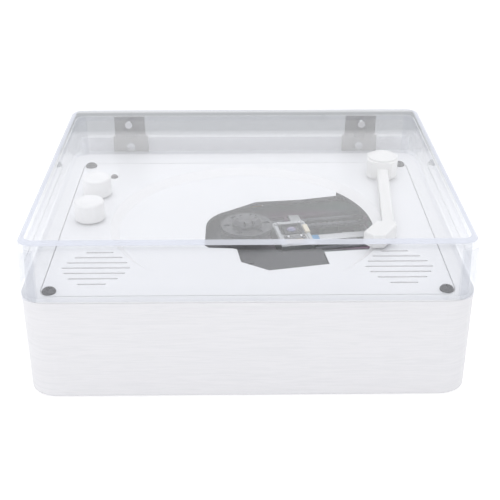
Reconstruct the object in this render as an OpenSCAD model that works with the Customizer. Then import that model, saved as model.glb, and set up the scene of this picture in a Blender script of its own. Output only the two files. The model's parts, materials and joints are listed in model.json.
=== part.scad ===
// A small disc player in a wood-grain case, laid out like a record deck under a clear hinged cover.
// The disc lies in a dished well, a swinging arm crosses its edge and two knobs stand at the left.
// Millimetres. +X is right, +Y is to the hinges, +Z is up. The origin is the middle of the base,
// on the surface that the feet stand on.

/* [Case] */
// Height of the case without its feet
case_h = 48.5; // [46:0.5:70]
// Radius of the case's upright corners
corner_r = 12.8; // [9:0.2:18]
// Thickness of the case's walls
wall = 4; // [3:0.5:5]
// Thickness of the ledge under the deck plate
ledge_t = 2.5; // [2:0.5:4]
// How far the ledge reaches in under the deck plate
ledge_w = 3; // [2:0.5:3.5]
// Thickness of the case's top rim that shows at the sides
rim_side = 8.4; // [7:0.2:12]
// Case rim in front of the deck plate
rim_front = 5.9; // [5.5:0.1:12]
// Case rim behind the deck plate
rim_back = 22.8; // [20:0.2:30]
// Height of the rail behind the cover, over the deck
rail_h = 8.4; // [7:0.2:10]
// Thickness of that rail
rail_t = 4; // [3:0.5:5]
// Thickness of the bottom panel
panel_t = 2.5; // [2:0.5:4]
// Height of the rubber feet
foot_h = 1.2; // [1:0.1:3]
// Radius of a rubber foot
foot_r = 6; // [4:0.5:9]

/* [Wall hanging] */
// Distance between the two keyholes
keyhole_pitch = 120; // [80:5:140]
// Radius of a keyhole's entry for the screw's head
keyhole_r = 4.2; // [3.5:0.1:5]
// Width of a keyhole's slot for the screw's neck
keyhole_slot_w = 4.2; // [3:0.1:4.4]
// Length of the slot from the entry's centre
keyhole_run = 9; // [7:0.5:12]

/* [Deck plate] */
// Thickness of the deck plate
deck_t = 2.5; // [2:0.25:3.5]
// Gap all round the deck plate
deck_gap = 0.3; // [0.2:0.05:0.5]
// Corner radius of the deck plate
deck_r = 6; // [4:0.5:9]
// Radius of the well's floor, a little over a disc's
well_r = 63.8; // [61:0.2:64]
// Width of the slope round the well's floor
well_slope = 4.2; // [3:0.1:6]
// Deck plate beside the well, at the left and at the right
deck_side = 23; // [20.5:0.5:38]
// Deck plate in front of the well, and behind it
deck_end = 5.95; // [5.3:0.05:20]
// Depth of the well
well_depth = 3.5; // [2.8:0.1:4]
// Thickness of the well's floor and side
well_t = 2; // [1.6:0.2:2.2]
// Diameter of the heads of the deck screws
screw_head_d = 6.2; // [5:0.1:7]
// Inset of the deck screws from the deck plate's edges
screw_inset = 4; // [3.8:0.1:4.5]

/* [Disc] */
// Thickness of a disc
disc_t = 1.2; // [1.1:0.05:1.3]
// Radius of a disc's centre hole
disc_hole_r = 7.5; // [7.5:0.05:7.6]
// Gap between the well's floor and a disc on the hub
disc_clear = 1.2; // [0.8:0.1:1.6]
// Radius of the hub's seat
hub_seat_r = 13; // [11:0.5:14]

/* [Grilles] */
// Distance of a grille's centre from the deck plate's side edge
grille_side = 21.6; // [20.5:0.1:23]
// Distance of a grille's centre from the deck plate's front edge
grille_front = 25.4; // [24:0.1:27]
// Distance from one slot to the next
slot_pitch = 4.95; // [4:0.05:5.4]
// Width of a slot
slot_w = 1.2; // [0.8:0.1:2]
// Length of the middle slot
slot_l = 31.2; // [26:0.2:34]
// Gap between a loudspeaker and the well's wall
speaker_gap = 1.1; // [0.8:0.1:3]
// Depth of a loudspeaker
speaker_h = 16; // [12:0.5:20]

/* [Knobs] */
// Diameter of a knob
knob_d = 15.2; // [13:0.2:17]
// Height of a knob
knob_h = 9.4; // [7:0.2:13]
// Gap under a knob
knob_lift = 1; // [0.8:0.1:1.6]
// Travel of the press knob
press_travel = 0.5; // [0.3:0.1:0.6]
// Distance of the knobs from the deck plate's left edge
knob_side = 12.4; // [11.5:0.1:13]
// How far the volume knob stands behind the line through the disc's axis
knob_shift = 2; // [-4:0.5:4]
// Distance between the two knobs
knob_pitch = 29.6; // [26:0.2:34]
// Diameter of the knobs' shafts
shaft_d = 6; // [5:0.5:6]

/* [Arm] */
// Distance of the arm's pivot from the deck plate's right edge
arm_side = 16; // [15:0.5:18]
// Distance of the arm's pivot from the deck plate's back edge
arm_back = 18.5; // [16:0.5:24]
// Width of the arm's turret
turret_w = 16.6; // [14:0.2:18]
// Height of the turret over its base ring
turret_h = 9.4; // [8:0.2:12]
// Height of the pointed cap
cap_h = 3.8; // [2:0.2:5]
// Length from the pivot to the middle of the head
arm_l = 82; // [76:0.5:84]
// Inward angle of the arm as it rests
arm_rest = 8.1; // [7:0.1:14]
// Width of the arm's bar
bar_w = 5.8; // [4.6:0.2:6]
// Outward angle of the bar against the head
bar_turn = 2.8; // [0:0.2:3]
// Thickness of the arm's bar
bar_t = 4.4; // [3:0.2:4.8]
// Length of the head
head_l = 15.5; // [14:0.5:18]
// Width of the head
head_w = 16.4; // [16:0.2:18]
// Height of the head
head_h = 7; // [6.8:0.2:8.6]
// Angle of the head against the line from the pivot
head_turn = 8.1; // [6:0.1:9]
// Gap between the head and the deck
head_lift = 1.2; // [0.8:0.1:2]

/* [Cover] */
// How far the cover's lower edge stands out at the case's sides
cover_side = 0.5; // [0.2:0.1:1.2]
// Gap between the cover's back and the rail
cover_back_gap = 2.2; // [2:0.1:3]
// Height of the clear cover
cover_h = 27.2; // [24:0.2:45]
// Thickness of the clear cover
cover_t = 3; // [2:0.2:3.6]
// How much each wall leans in over the cover's height
cover_lean = 1; // [0.6:0.1:1.4]
// Rounding of the cover's upper edges
cover_round = 4; // [3.8:0.1:6]
// Radius of the cover's upright corners, tighter than the case's
cover_corner = 9; // [9:0.5:13]
// Gap between the cover and the deck
cover_gap = 0.2; // [0.1:0.05:0.5]
// Setback of the cover's front from the case's front
cover_set = 0.9; // [0.4:0.1:1.5]

/* [Hinges] */
// Distance of each hinge from the middle
hinge_x = 66.5; // [50:0.5:72]
// Width of a hinge's upper leaf
leaf_w = 17.4; // [14:0.2:22]
// Height of the upper leaf over the hinge pin
leaf_h = 12; // [10:0.5:13]
// Thickness of the leaves
leaf_t = 1; // [0.8:0.1:1.2]
// Width of the lower leaf with its side flanges
lower_leaf_w = 20; // [20:0.2:26]
// Radius of the hinge pin
pin_r = 0.9; // [0.7:0.05:1]
// Radius of the hinge's knuckles
knuckle_r = 1.6; // [1.4:0.1:1.7]

/* [Disc drive] */
// Turn of the whole disc drive about the disc's axis
drive_turn = 9.5; // [6:0.5:12]
// Drop from the well's floor to the drive plate
plate_drop = 7; // [6.5:0.1:7.5]
// Thickness of the drive plate
plate_t = 2; // [1.6:0.2:2.4]
// Radius of the spindle motor
motor_r = 12; // [10:0.5:12]
// Height of the spindle motor
motor_h = 9; // [6:0.5:11]
// Radius of the spindle shaft
spindle_r = 1; // [0.8:0.1:1.2]
// Distance of the lens from the disc's axis at rest
lens_start = 23; // [22.5:0.1:24]
// Travel of the lens outwards
lens_travel = 34; // [30:0.5:34]
// Width of the pickup along its travel
pickup_w = 17; // [15:0.5:18]
// Radius of the guide rods
rod_r = 1.5; // [1.2:0.1:1.6]
// Radius of the feed screw
feed_r = 1.5; // [1.2:0.1:1.6]

/* [Electronics] */
// Width of the main board
board_w = 78; // [70:1:90]
// Depth of the main board
board_d = 46; // [44:1:50]
// Thickness of the boards
board_t = 1.6; // [1:0.2:2]
// Length of the battery
battery_l = 62; // [50:1:66]
// Width of the battery
battery_w = 34; // [28:1:36]
// Thickness of the battery
battery_h = 8; // [6:0.5:10]
// Radius of the audio socket's bore
jack_r = 1.8; // [1.75:0.05:1.85]

/* [Hidden] */
$fn = 64;

eps = 0.01;
running = 0.05;
seat_gap = 0.3;

// Levels from the base up
panel_top = foot_h + panel_t;
deck_z = foot_h + case_h;
deck_under = deck_z - deck_t;
well_z = deck_z - well_depth;
well_under = well_z - well_t;
plate_z = well_z - plate_drop;
plate_under = plate_z - plate_t;
seat_z = well_z + disc_clear;

// The deck plate goes round the well, and the case's rims go round the deck plate
well_edge_r = well_r + well_slope;
deck_w = 2 * (well_edge_r + deck_side);
deck_d = 2 * (well_edge_r + deck_end);
case_w = deck_w + 2 * rim_side;
case_d = deck_d + rim_front + rim_back;
deck_x = deck_w / 2;
well_y = (rim_front - rim_back) / 2;
deck_front = well_y - deck_d / 2;
deck_back = well_y + deck_d / 2;
well_wall_r = well_edge_r + 1.2;

// Insides of the case
in_w = case_w - 2 * wall;
in_d = case_d - 2 * wall;
in_r = corner_r - wall;
inside_back = in_d / 2;

// Screws: radii of necks, pilot holes, heads
neck_r = 1.5;
pilot_r = 1.2;
boss_r = 3.8;
head_r = screw_head_d / 2;
head_rise = 1.9;
screw_l = 10;

// The four deck screws, each over a post of the case
deck_screw_xy = [for (sx = [-1, 1], sy = [-1, 1])
    [sx * (deck_x - screw_inset), well_y + sy * (deck_d / 2 - screw_inset)]];
foot_inset = [24, 12];
foot_xy = [for (sx = [-1, 1], sy = [-1, 1])
    [sx * (in_w / 2 - foot_inset[0]), sy * (in_d / 2 - foot_inset[1])]];

// Loudspeakers and grilles
grille_x = deck_x - grille_side;
grille_y = deck_front + grille_front;
slot_lengths = [0.41, 0.72, 0.9, 1, 0.9, 0.72, 0.41];
speaker_r = norm([grille_x, grille_y - well_y]) - well_wall_r - speaker_gap;
ear_turn = 55;
ear_r = speaker_r + 4.2;
ear_t = 1.6;
ear_boss_h = 1.6;
basket_h = 8;
magnet_r = speaker_r - 4.9;

// Remote control's receiver
eye_r = 2.15;
eye_x = -deck_x + 18.6;
eye_y = deck_back - 19.2;

// Knobs
knob_x = -deck_x + knob_side;
volume_y = well_y + knob_shift;
press_y = volume_y + knob_pitch;
knob_z = deck_z + knob_lift;
control_w = 12;
control_h = 6.5;
bush_r = shaft_d / 2 + 0.8;
bush_rise = 0.6;
rotor_h = 1.6;
rotor_low = deck_under - 3;

// Arm
arm_x = deck_x - arm_side;
arm_y = deck_back - arm_back;
arm_base_h = 1.2;
turret_z = deck_z + arm_base_h + seat_gap;
turret_top = turret_z + turret_h;
arm_pin_r = 2;
head_z = deck_z + head_lift;
bar_z = head_z + 1.6;
head_bar_overlap = 4;
bar_start = 3 - turret_w / 2;
bar_end = head_l / 2 - arm_l - head_bar_overlap;
groove_start = 12;
groove_end = 8;
turret_chamfer = 3;

// Cover
cover_w = case_w + 2 * cover_side;
cover_d = case_d - rail_t - cover_set - cover_back_gap;
cover_z = deck_z + cover_gap;
cover_top = cover_z + cover_h;
cover_y = -case_d / 2 + cover_set + cover_d / 2;
cover_back = cover_y + cover_d / 2;
lean_angle = atan(cover_lean / (cover_h - cover_round));

// Hinge: the pin lies behind the cover, over the rail
rail_front = case_d / 2 - rail_t;
pin_z = deck_z + rail_h + knuckle_r + 0.2;
pin_y = rail_front + 0.4;
cover_back_at_pin = cover_back - cover_lean * (pin_z - cover_z) / (cover_h - cover_round);
lower_screw_rise = 3;
leaf_y = (cover_back_at_pin - pin_y) * cos(lean_angle) + 0.1;
rail_screw_drop = rail_h / 2 + lower_screw_rise;
knuckle_l = leaf_w / 3;
flange_w = (lower_leaf_w - leaf_w) / 2;
upper_screw_rise = 9;
small_head_r = 2.6;
small_head_h = 1.2;
small_neck_r = 1.4;

// Disc drive, in its own turned frame with the disc's axis at the origin
rod_z = plate_under + 0.2;
pickup_under = rod_z - 3.4;
pickup_top = well_under - 1.6;
pickup_front = -18;
pickup_back = 8;
front_rod_y = -14.5;
feed_y = 11.8;
back_rod_y = 18.2;
window_start = motor_r + 0.4;
window_end = lens_start + lens_travel + pickup_w / 2 + 0.8;
window_front = pickup_front - 0.8;
window_back = back_rod_y + 3.4;
plate_left = -28;
plate_right = window_end + 3;
plate_front = -38;
plate_back = 36;
tongue_left = -12;
tongue_right = 34;
tongue_front = -50;
lug_t = 1.8;
lug_xy = [[plate_left - 5, -28], [plate_left - 5, 26], [plate_right + 5, -28], [plate_right + 5, 26]];
lug_r = 6;
damper_r = 5;
damper_waist_r = 3.4;
damper_lip = 2;
post_r = 4.4;
hub_nose_r = disc_hole_r - 0.1;
hub_nose_h = 1.7;
lens_r = 2.4;
holder_w = 8;
lens_pocket = 12;
focus_gap = 0.7;
holder_h = 2.4;
holder_z = pickup_top - 2.6;
pickup_floor = holder_z - focus_gap;
ribbon_t = 0.3;
ribbon_w = 6;
ribbon_y = 5.5;
connector_w = 8;
connector_y = -2;
ribbon_z = pickup_under - seat_gap - ribbon_t;
feed_motor_r = 3.4;
feed_motor_l = 11;
ribbon_end = window_end + 2;
ribbon_reach = 42;

// Boards
board_x = 28;
board_y = inside_back - 1.5 - board_d / 2;
board_z = panel_top + 6;
board_top = board_z + board_t;
board_screw_xy = [for (sx = [-1, 1], sy = [-1, 1])
    [board_x + sx * (board_w / 2 - 4), board_y + sy * (board_d / 2 - 4)]];
socket_z = board_top;
ribbon_low = board_top + 5;
power_x = board_x - 22;
audio_x = board_x + 8;
power_w = 9;
power_d = 7.4;
power_h = 3.4;
audio_w = 6;
audio_l = 12;
audio_h = 5;
port_clear = 0.4;
chip_w = 12;
chip_h = 1.4;
can_r = 2.5;
can_h = 6;
battery_side_gap = 16.4;
battery_front_gap = 15.3;
battery_x = battery_side_gap + battery_w / 2 - in_w / 2;
battery_y = battery_front_gap + battery_l / 2 - in_d / 2;
strap_t = 0.8;
strap_w = 12;

// A block with round upright corners, its base on z = 0
module rounded_block(w, d, h, r) {
    translate([-w / 2 + r, -d / 2, 0]) cube([w - 2 * r, d, h]);
    translate([-w / 2, -d / 2 + r, 0]) cube([w, d - 2 * r, h]);
    for (sx = [-1, 1], sy = [-1, 1])
        translate([sx * (w / 2 - r), sy * (d / 2 - r), 0]) cylinder(r = r, h = h);
}

// A cuboid given by its lowest and highest corners
module span(low, high) {
    translate(low) cube(high - low);
}

// A level slot with round ends along X, centred on the origin
module slot(length, width, h) {
    translate([-(length - width) / 2, -width / 2, 0]) cube([length - width, width, h]);
    for (s = [-1, 1]) translate([s * (length - width) / 2, 0, 0]) cylinder(d = width, h = h);
}

// A pan-head screw pointing down, with its head's seat at the origin and a cross recess
module pan_screw(head, rise, neck, length) {
    difference() {
        union() {
            rotate_extrude() polygon([
                [0, 0], [head, 0], [head, rise * 0.35], [head * 0.82, rise * 0.75],
                [head * 0.5, rise], [0, rise]]);
            translate([0, 0, -length]) cylinder(r = neck, h = length + eps);
        }
        for (a = [0, 90]) rotate([0, 0, a])
            translate([-head * 0.55, -head * 0.11, rise * 0.45]) cube([head * 1.1, head * 0.22, rise]);
    }
}

// Puts its children into the disc drive's turned frame
module in_drive() {
    translate([0, well_y, 0]) rotate([0, 0, drive_turn]) children();
}

module case_shell() {
    color([0.95, 0.95, 0.96]) difference() {
        union() {
            translate([0, 0, foot_h]) rounded_block(case_w, case_d, case_h, corner_r);
            intersection() {
                translate([0, 0, deck_z - eps])
                    rounded_block(case_w, case_d, rail_h + eps, corner_r);
                span([-case_w, rail_front, deck_z - 1], [case_w, case_d, deck_z + rail_h + 1]);
            }
        }
        case_hollow();
        translate([0, well_y, deck_under])
            rounded_block(deck_w, deck_d, deck_t + rail_h, deck_r);
        difference() {
            translate([0, well_y, deck_under - ledge_t - 1])
                rounded_block(deck_w - 2 * ledge_w, deck_d - 2 * ledge_w, ledge_t + 1 + eps, deck_r - 2);
            for (p = deck_screw_xy) translate([p[0], p[1], 0]) cylinder(r = boss_r, h = deck_under);
        }
        for (p = deck_screw_xy) {
            translate([p[0], p[1], deck_under - screw_l]) cylinder(r = pilot_r, h = case_h);
            translate([p[0], p[1], 0]) cylinder(r = pilot_r, h = panel_top + 8);
        }
        rear_ports();
        for (s = [-1, 1]) translate([s * hinge_x, rail_front - 1, pin_z - rail_screw_drop])
            rotate([-90, 0, 0]) cylinder(r = small_neck_r, h = rail_t + 0.6);
    }
}

// The room inside the case: open below for the panel, and clear of the screw posts
module case_hollow() {
    difference() {
        union() {
            translate([0, 0, foot_h - 1]) rounded_block(in_w, in_d, panel_t + 1, in_r);
            translate([0, 0, panel_top - eps])
                rounded_block(in_w, in_d, deck_under - ledge_t - panel_top + eps, in_r);
        }
        for (p = deck_screw_xy) translate([p[0], p[1], panel_top]) {
            cylinder(r = boss_r, h = case_h);
            post_web(p);
        }
    }
}

// A web that ties a screw post to the side wall beside it
module post_web(p) {
    out = in_w / 2 + 1 - abs(p[0]);
    scale([sign(p[0]), 1, 1]) translate([0, -1.5, 0]) cube([out, 3, case_h]);
}

// Openings in the back wall for the two sockets
module rear_ports() {
    translate([power_x, inside_back - 1, socket_z + power_h / 2]) rotate([-90, 0, 0])
        translate([0, 0, -1]) slot(power_w + 2 * port_clear, power_h + 2 * port_clear, wall + 4);
    translate([audio_x, inside_back - 2, socket_z + audio_h / 2]) rotate([-90, 0, 0])
        cylinder(r = audio_h / 2 + port_clear, h = wall + 4);
}

module bottom_panel() {
    color([0.86, 0.86, 0.87]) difference() {
        union() {
            translate([0, 0, foot_h])
                rounded_block(in_w - 2 * deck_gap, in_d - 2 * deck_gap, panel_t, in_r - deck_gap);
            for (p = board_screw_xy) translate([p[0], p[1], foot_h]) cylinder(r = 3, h = board_z - foot_h);
            in_drive() for (p = lug_xy) translate([p[0], p[1], foot_h])
                cylinder(r = post_r, h = plate_under - damper_lip - foot_h);
        }
        for (p = board_screw_xy) translate([p[0], p[1], foot_h + 1]) cylinder(r = pilot_r, h = board_z);
        in_drive() for (p = lug_xy) translate([p[0], p[1], foot_h + 4]) cylinder(r = pilot_r, h = case_h);
        for (p = deck_screw_xy) translate([p[0], p[1], 0]) {
            cylinder(r = neck_r, h = panel_top + 1);
            cylinder(r = small_head_r + 0.3, h = foot_h + small_head_h + 0.1);
        }
        for (s = [-1, 1]) translate([s * keyhole_pitch / 2, 0, 0]) keyhole();
    }
}

// Entry for a screw's head, and a slot towards the hinge side for its neck
module keyhole() {
    cylinder(r = keyhole_r, h = panel_top + 1);
    translate([-keyhole_slot_w / 2, 0, 0]) cube([keyhole_slot_w, keyhole_run, panel_top + 1]);
    translate([0, keyhole_run, 0]) cylinder(d = keyhole_slot_w, h = panel_top + 1);
}

module bottom_screws() {
    color([0.3, 0.3, 0.32]) for (p = deck_screw_xy)
        translate([p[0], p[1], foot_h + small_head_h + 0.1]) rotate([180, 0, 0])
            pan_screw(small_head_r, small_head_h, pilot_r, 7);
}

module rubber_feet() {
    color([0.2, 0.2, 0.21]) for (p = foot_xy) translate([p[0], p[1], 0]) cylinder(r = foot_r, h = foot_h);
}

module deck_plate() {
    color([0.96, 0.96, 0.97]) difference() {
        union() {
            translate([0, well_y, deck_under])
                rounded_block(deck_w - 2 * deck_gap, deck_d - 2 * deck_gap, deck_t, deck_r - deck_gap);
            translate([0, well_y, well_under]) cylinder(r = well_wall_r, h = deck_z - well_under);
            for (s = [-1, 1]) speaker_place(s) speaker_bosses();
        }
        translate([0, well_y, well_z]) cylinder(r1 = well_r, r2 = well_edge_r, h = well_depth);
        translate([0, well_y, deck_z - eps]) cylinder(r = well_edge_r, h = 1);
        intersection() {
            translate([0, well_y, well_under - 1]) cylinder(r = well_r - eps, h = well_t + 2);
            translate([0, 0, well_under - 1]) linear_extrude(well_t + 3) polygon(opening_outline());
        }
        for (s = [-1, 1]) translate([s * grille_x, grille_y, deck_under - 4]) grille(s);
        for (p = deck_screw_xy) translate([p[0], p[1], deck_under - 1])
            cylinder(r = neck_r, h = deck_t + 2);
        for (y = [volume_y, press_y]) translate([knob_x, y, deck_under - 1])
            cylinder(r = bush_r + running, h = deck_t + 2);
        translate([arm_x, arm_y, deck_under - 1]) cylinder(r = arm_pin_r + 1, h = deck_t + 2);
        translate([eye_x, eye_y, deck_under - 1]) cylinder(r = eye_r, h = deck_t + 2);
        for (s = [-1, 1]) speaker_place(s) for (a = [0, 180]) rotate([0, 0, ear_turn + a])
            translate([ear_r, 0, -4]) cylinder(r = pilot_r - 0.3, h = 5);
    }
}

// The opening over the disc drive: round about the hub, then straight edges that follow the drive
function opening_outline() = concat(
    [for (a = [180:-7:117]) [20.5 * cos(a), well_y + 20.5 * sin(a)]],
    [for (p = [
        [5.2, 29], [28.7, 31.6], [48.3, 36.4], [49.3, 44], [75, 40], [75, -24],
        [55.5, -25.6], [36.9, -27.6], [38.4, -39.7], [10, -45.5], [-3, -37.2],
        [-4.9, -24.5], [-7.3, -23.5], [-18.4, -22.8], [-20.5, -20.5]]) [p[0], well_y + p[1]]]);

// Slots of one grille, longest in the middle
module grille(side) {
    for (i = [0:len(slot_lengths) - 1])
        translate([0, (i - (len(slot_lengths) - 1) / 2) * slot_pitch, 0])
            slot(slot_l * slot_lengths[i], slot_w, deck_t + 6);
}

// The place of a loudspeaker's upper face under the deck plate
module speaker_place(side) {
    translate([side * grille_x, grille_y, deck_under - ear_boss_h]) scale([side, 1, 1]) children();
}

// Two short bosses that the basket's ears are screwed to
module speaker_bosses() {
    for (a = [0, 180]) rotate([0, 0, ear_turn + a]) translate([ear_r, 0, 0])
        cylinder(r = 2.6, h = ear_boss_h + eps);
}

module deck_screws() {
    color([0.12, 0.12, 0.13]) for (p = deck_screw_xy) translate([p[0], p[1], deck_z])
        pan_screw(head_r, head_rise, pilot_r, screw_l);
}

// The remote control's receiver: a dark lens in the deck, with its body and legs below
module remote_eye() {
    color([0.16, 0.12, 0.14]) translate([eye_x, eye_y, 0]) {
        rotate_extrude() intersection() {
            translate([0, deck_z - 0.5]) circle(r = eye_r - running);
            translate([0, deck_under - 3]) square([eye_r, 20]);
        }
        translate([0, 0, deck_under - 0.5]) cylinder(r = eye_r - running, h = deck_t);
        span([-3, -2, deck_under - 4], [3, 2, deck_under]);
        for (x = [-2, 0, 2]) span([x - 0.3, -0.3, deck_under - 9], [x + 0.3, 0.3, deck_under - 3.9]);
    }
}

// A turned knob with a domed edge and a fine pointer line, hollow for its shaft
module knob(bore_r, bore_h) {
    difference() {
        rotate_extrude() polygon([
            [0, 0], [knob_d / 2 - 0.6, 0], [knob_d / 2, 0.6], [knob_d / 2 - 0.25, knob_h - 0.9],
            [knob_d / 2 - 1.1, knob_h], [knob_d / 2 - 3, knob_h - 0.15], [0, knob_h - 0.15]]);
        translate([0, 0, -eps]) cylinder(r = bore_r, h = bore_h);
        translate([0, 0, -eps]) difference() {
            cylinder(r = knob_d / 2 - 1.6, h = bore_h - 1);
            cylinder(r = bore_r + 1.4, h = bore_h);
        }
    }
}

// Shaft of a control, from inside its housing up into the knob
module control_shaft(low) {
    translate([0, 0, low]) cylinder(d = shaft_d, h = knob_z + knob_h - 2 - low);
}

// Housing of a control below the deck, with the threaded bush that passes the deck
module control_housing(low_bore) {
    difference() {
        union() {
            span([-control_w / 2, -control_w / 2, deck_under - control_h],
                 [control_w / 2, control_w / 2, deck_under]);
            cylinder_at(bush_r, deck_under - eps, deck_z + bush_rise - 0.4);
            for (x = [-3, 0, 3]) span([x - 0.5, -control_w / 2 - 4, deck_under - control_h],
                [x + 0.5, -control_w / 2 + 1, deck_under - control_h + 0.8]);
        }
        cylinder_at(shaft_d / 2 + running, low_bore, deck_z + 2);
    }
}

// An upright cylinder between two levels
module cylinder_at(r, low, high) {
    translate([0, 0, low]) cylinder(r = r, h = high - low);
}

module volume_knob() {
    color([0.95, 0.94, 0.93]) translate([knob_x, volume_y, knob_z]) knob(shaft_d / 2, knob_h - 2);
}

module volume_shaft() {
    color([0.75, 0.75, 0.77]) translate([knob_x, volume_y, 0]) control_shaft(deck_under - 4);
}

module volume_control() {
    color([0.3, 0.32, 0.34]) translate([knob_x, volume_y, 0]) control_housing(deck_under - 4.1);
}

module press_knob() {
    color([0.95, 0.94, 0.93]) translate([knob_x, press_y, knob_z]) knob(shaft_d / 2, knob_h - 2);
}

module press_shaft() {
    color([0.75, 0.75, 0.77]) translate([knob_x, press_y, 0]) control_shaft(deck_under - 3.6);
}

// The ring in the encoder that turns with the shaft and lets it slide
module encoder_rotor() {
    color([0.85, 0.6, 0.2]) translate([knob_x, press_y, 0]) difference() {
        cylinder_at(shaft_d / 2 + 1.2, rotor_low, rotor_low + rotor_h);
        cylinder_at(shaft_d / 2 + running, rotor_low - 1, deck_z);
    }
}

module encoder() {
    color([0.3, 0.32, 0.34]) translate([knob_x, press_y, 0]) difference() {
        control_housing(deck_under - 3.6 - press_travel - 0.2);
        cylinder_at(shaft_d / 2 + 1.3, rotor_low - 0.1, rotor_low + rotor_h + 0.1);
    }
}

module control_nuts() {
    color([0.7, 0.7, 0.72]) for (y = [volume_y, press_y]) translate([knob_x, y, deck_z])
        difference() {
            cylinder(r = bush_r + 1.3, h = bush_rise - 0.2, $fn = 6);
            translate([0, 0, -1]) cylinder(r = bush_r, h = 3);
        }
}

// Turns its children from the arm's own frame, straight towards the front, to its rest
module in_arm() {
    translate([arm_x, arm_y, 0]) rotate([0, 0, -arm_rest]) children();
}

// The round plate and bush under the turret, fast in the deck
module arm_base() {
    color([0.95, 0.94, 0.92]) translate([arm_x, arm_y, 0]) difference() {
        union() {
            cylinder_at(turret_w / 2 - 0.6, deck_z, deck_z + arm_base_h);
            cylinder_at(arm_pin_r + 1, deck_under, deck_z + eps);
        }
        cylinder_at(arm_pin_r + running, deck_under - 1, deck_z + 5);
    }
}

// The bar's block along its own line, which leaves the head's line by bar_turn
module bar_block(from, to) {
    rotate([0, 0, bar_turn]) span([-bar_w / 2, from, bar_z], [bar_w / 2, to, bar_z + bar_t]);
}

// A block with cut corners that carries the arm's bar
module arm_turret() {
    half = turret_w / 2;
    cut = turret_chamfer;
    color([0.96, 0.95, 0.92]) in_arm() difference() {
        translate([0, 0, turret_z]) linear_extrude(turret_h) polygon([
            [-half + cut, -half], [half - cut, -half], [half, -half + cut], [half, half - cut],
            [half - cut, half], [-half + cut, half], [-half, half - cut], [-half, -half + cut]]);
        cylinder_at(arm_pin_r, turret_z - 1, turret_top - 2);
        bar_block(-turret_w, bar_start);
    }
}

// A low pointed roof on the turret
module arm_cap() {
    color([0.96, 0.95, 0.92]) in_arm() translate([0, 0, turret_top]) rotate_extrude() polygon([
        [0, 0], [turret_w / 2 - 0.5, 0], [turret_w / 2 - 0.3, 0.7], [turret_w / 4, cap_h * 0.62],
        [1.2, cap_h - 0.1], [0, cap_h]]);
}

// A straight bar with a long shallow groove along its top
module arm_bar() {
    color([0.96, 0.95, 0.92]) in_arm() difference() {
        bar_block(bar_end, bar_start);
        rotate([0, 0, bar_turn])
            span([-0.9, bar_end + groove_end, bar_z + bar_t - 0.5],
                 [0.9, bar_start - groove_start, bar_z + bar_t + 1]);
    }
}

// The head: a block with six uneven sides, low over the deck, with a pocket for the bar's end
module arm_head() {
    half = head_w / 2;
    long = head_l / 2;
    color([0.96, 0.95, 0.92]) in_arm() difference() {
        translate([0, -arm_l, head_z]) rotate([0, 0, head_turn]) linear_extrude(head_h) polygon([
            [-half, -0.4 * long], [-0.54 * half, -long], [0.12 * half, -long], [half, 0.4 * long],
            [half, long], [-0.14 * half, long]]);
        bar_block(bar_end, bar_start);
    }
}

module arm_pin() {
    color([0.72, 0.72, 0.74]) in_arm() difference() {
        cylinder_at(arm_pin_r, deck_under - 3, turret_top - 2);
        difference() {
            cylinder_at(arm_pin_r + 1, deck_under - 1, deck_under - 0.2);
            cylinder_at(arm_pin_r - 0.5, deck_under - 3, deck_under + 1);
        }
    }
}

// The open ring that keeps the arm's pin from lifting out
module arm_clip() {
    color([0.35, 0.35, 0.37]) in_arm() difference() {
        cylinder_at(arm_pin_r + 1.6, deck_under - 0.9, deck_under - 0.3);
        cylinder_at(arm_pin_r - 0.45, deck_under - 3, deck_under + 1);
        span([-1.1, 0, deck_under - 3], [1.1, 5, deck_under]);
    }
}

// The cover's outer or inner form, smaller by inset: upright corners that lean in and a rounded top
module cover_form(inset, low, high, round) {
    lean = cover_lean;
    w = cover_w / 2 - inset;
    d = cover_d / 2 - inset;
    r = cover_corner - inset;
    steps = 5;
    hull() for (sx = [-1, 1], sy = [-1, 1]) {
        translate([sx * (w - r), cover_y + sy * (d - r), low]) cylinder(r = r, h = eps, $fn = 40);
        for (k = [0:steps]) {
            a = 90 * k / steps;
            top = high - round + round * sin(a);
            in = lean + round * (1 - cos(a));
            translate([sx * (w - r), cover_y + sy * (d - r), top - eps])
                cylinder(r = r - in, h = eps, $fn = 40);
        }
    }
}

module clear_cover() {
    color([0.88, 0.9, 0.95, 0.35]) difference() {
        cover_form(0, cover_z, cover_top, cover_round);
        translate([0, 0, -eps])
            cover_form(cover_t, cover_z, cover_top - cover_t, cover_round - cover_t + 0.6);
        for (s = [-1, 1]) at_hinge(s, true) translate([0, leaf_y - 8, upper_screw_rise])
            rotate([-90, 0, 0]) cylinder(r = small_neck_r + 0.1, h = 12);
    }
}

// Puts its children at a hinge's pin, leaning with the cover's back wall
module at_hinge(side, lean) {
    translate([side * hinge_x, pin_y, pin_z]) rotate([lean ? lean_angle : 0, 0, 0]) children();
}

// One knuckle of a hinge, from one place along the pin to another
module knuckle(from, to, r) {
    translate([from, 0, 0]) rotate([0, 90, 0]) cylinder(r = r, h = to - from);
}

module hinge_upper_leaves() {
    mid = knuckle_l / 2 - 0.15;
    color([0.72, 0.71, 0.7]) for (s = [-1, 1]) difference() {
        union() {
            at_hinge(s, true) {
                span([-leaf_w / 2, leaf_y, knuckle_r - 0.4], [leaf_w / 2, leaf_y + leaf_t, leaf_h]);
                span([-mid, leaf_y, 0], [mid, leaf_y + leaf_t, knuckle_r]);
            }
            at_hinge(s, false) {
                knuckle(-mid, mid, knuckle_r);
                span([-mid, leaf_y, -knuckle_r / 2], [mid, 0, knuckle_r / 2]);
            }
        }
        at_hinge(s, false) knuckle(-leaf_w, leaf_w, pin_r + running);
        at_hinge(s, true) translate([0, leaf_y - 1, upper_screw_rise]) rotate([-90, 0, 0])
            cylinder(r = small_neck_r + 0.1, h = 5);
    }
}

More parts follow.
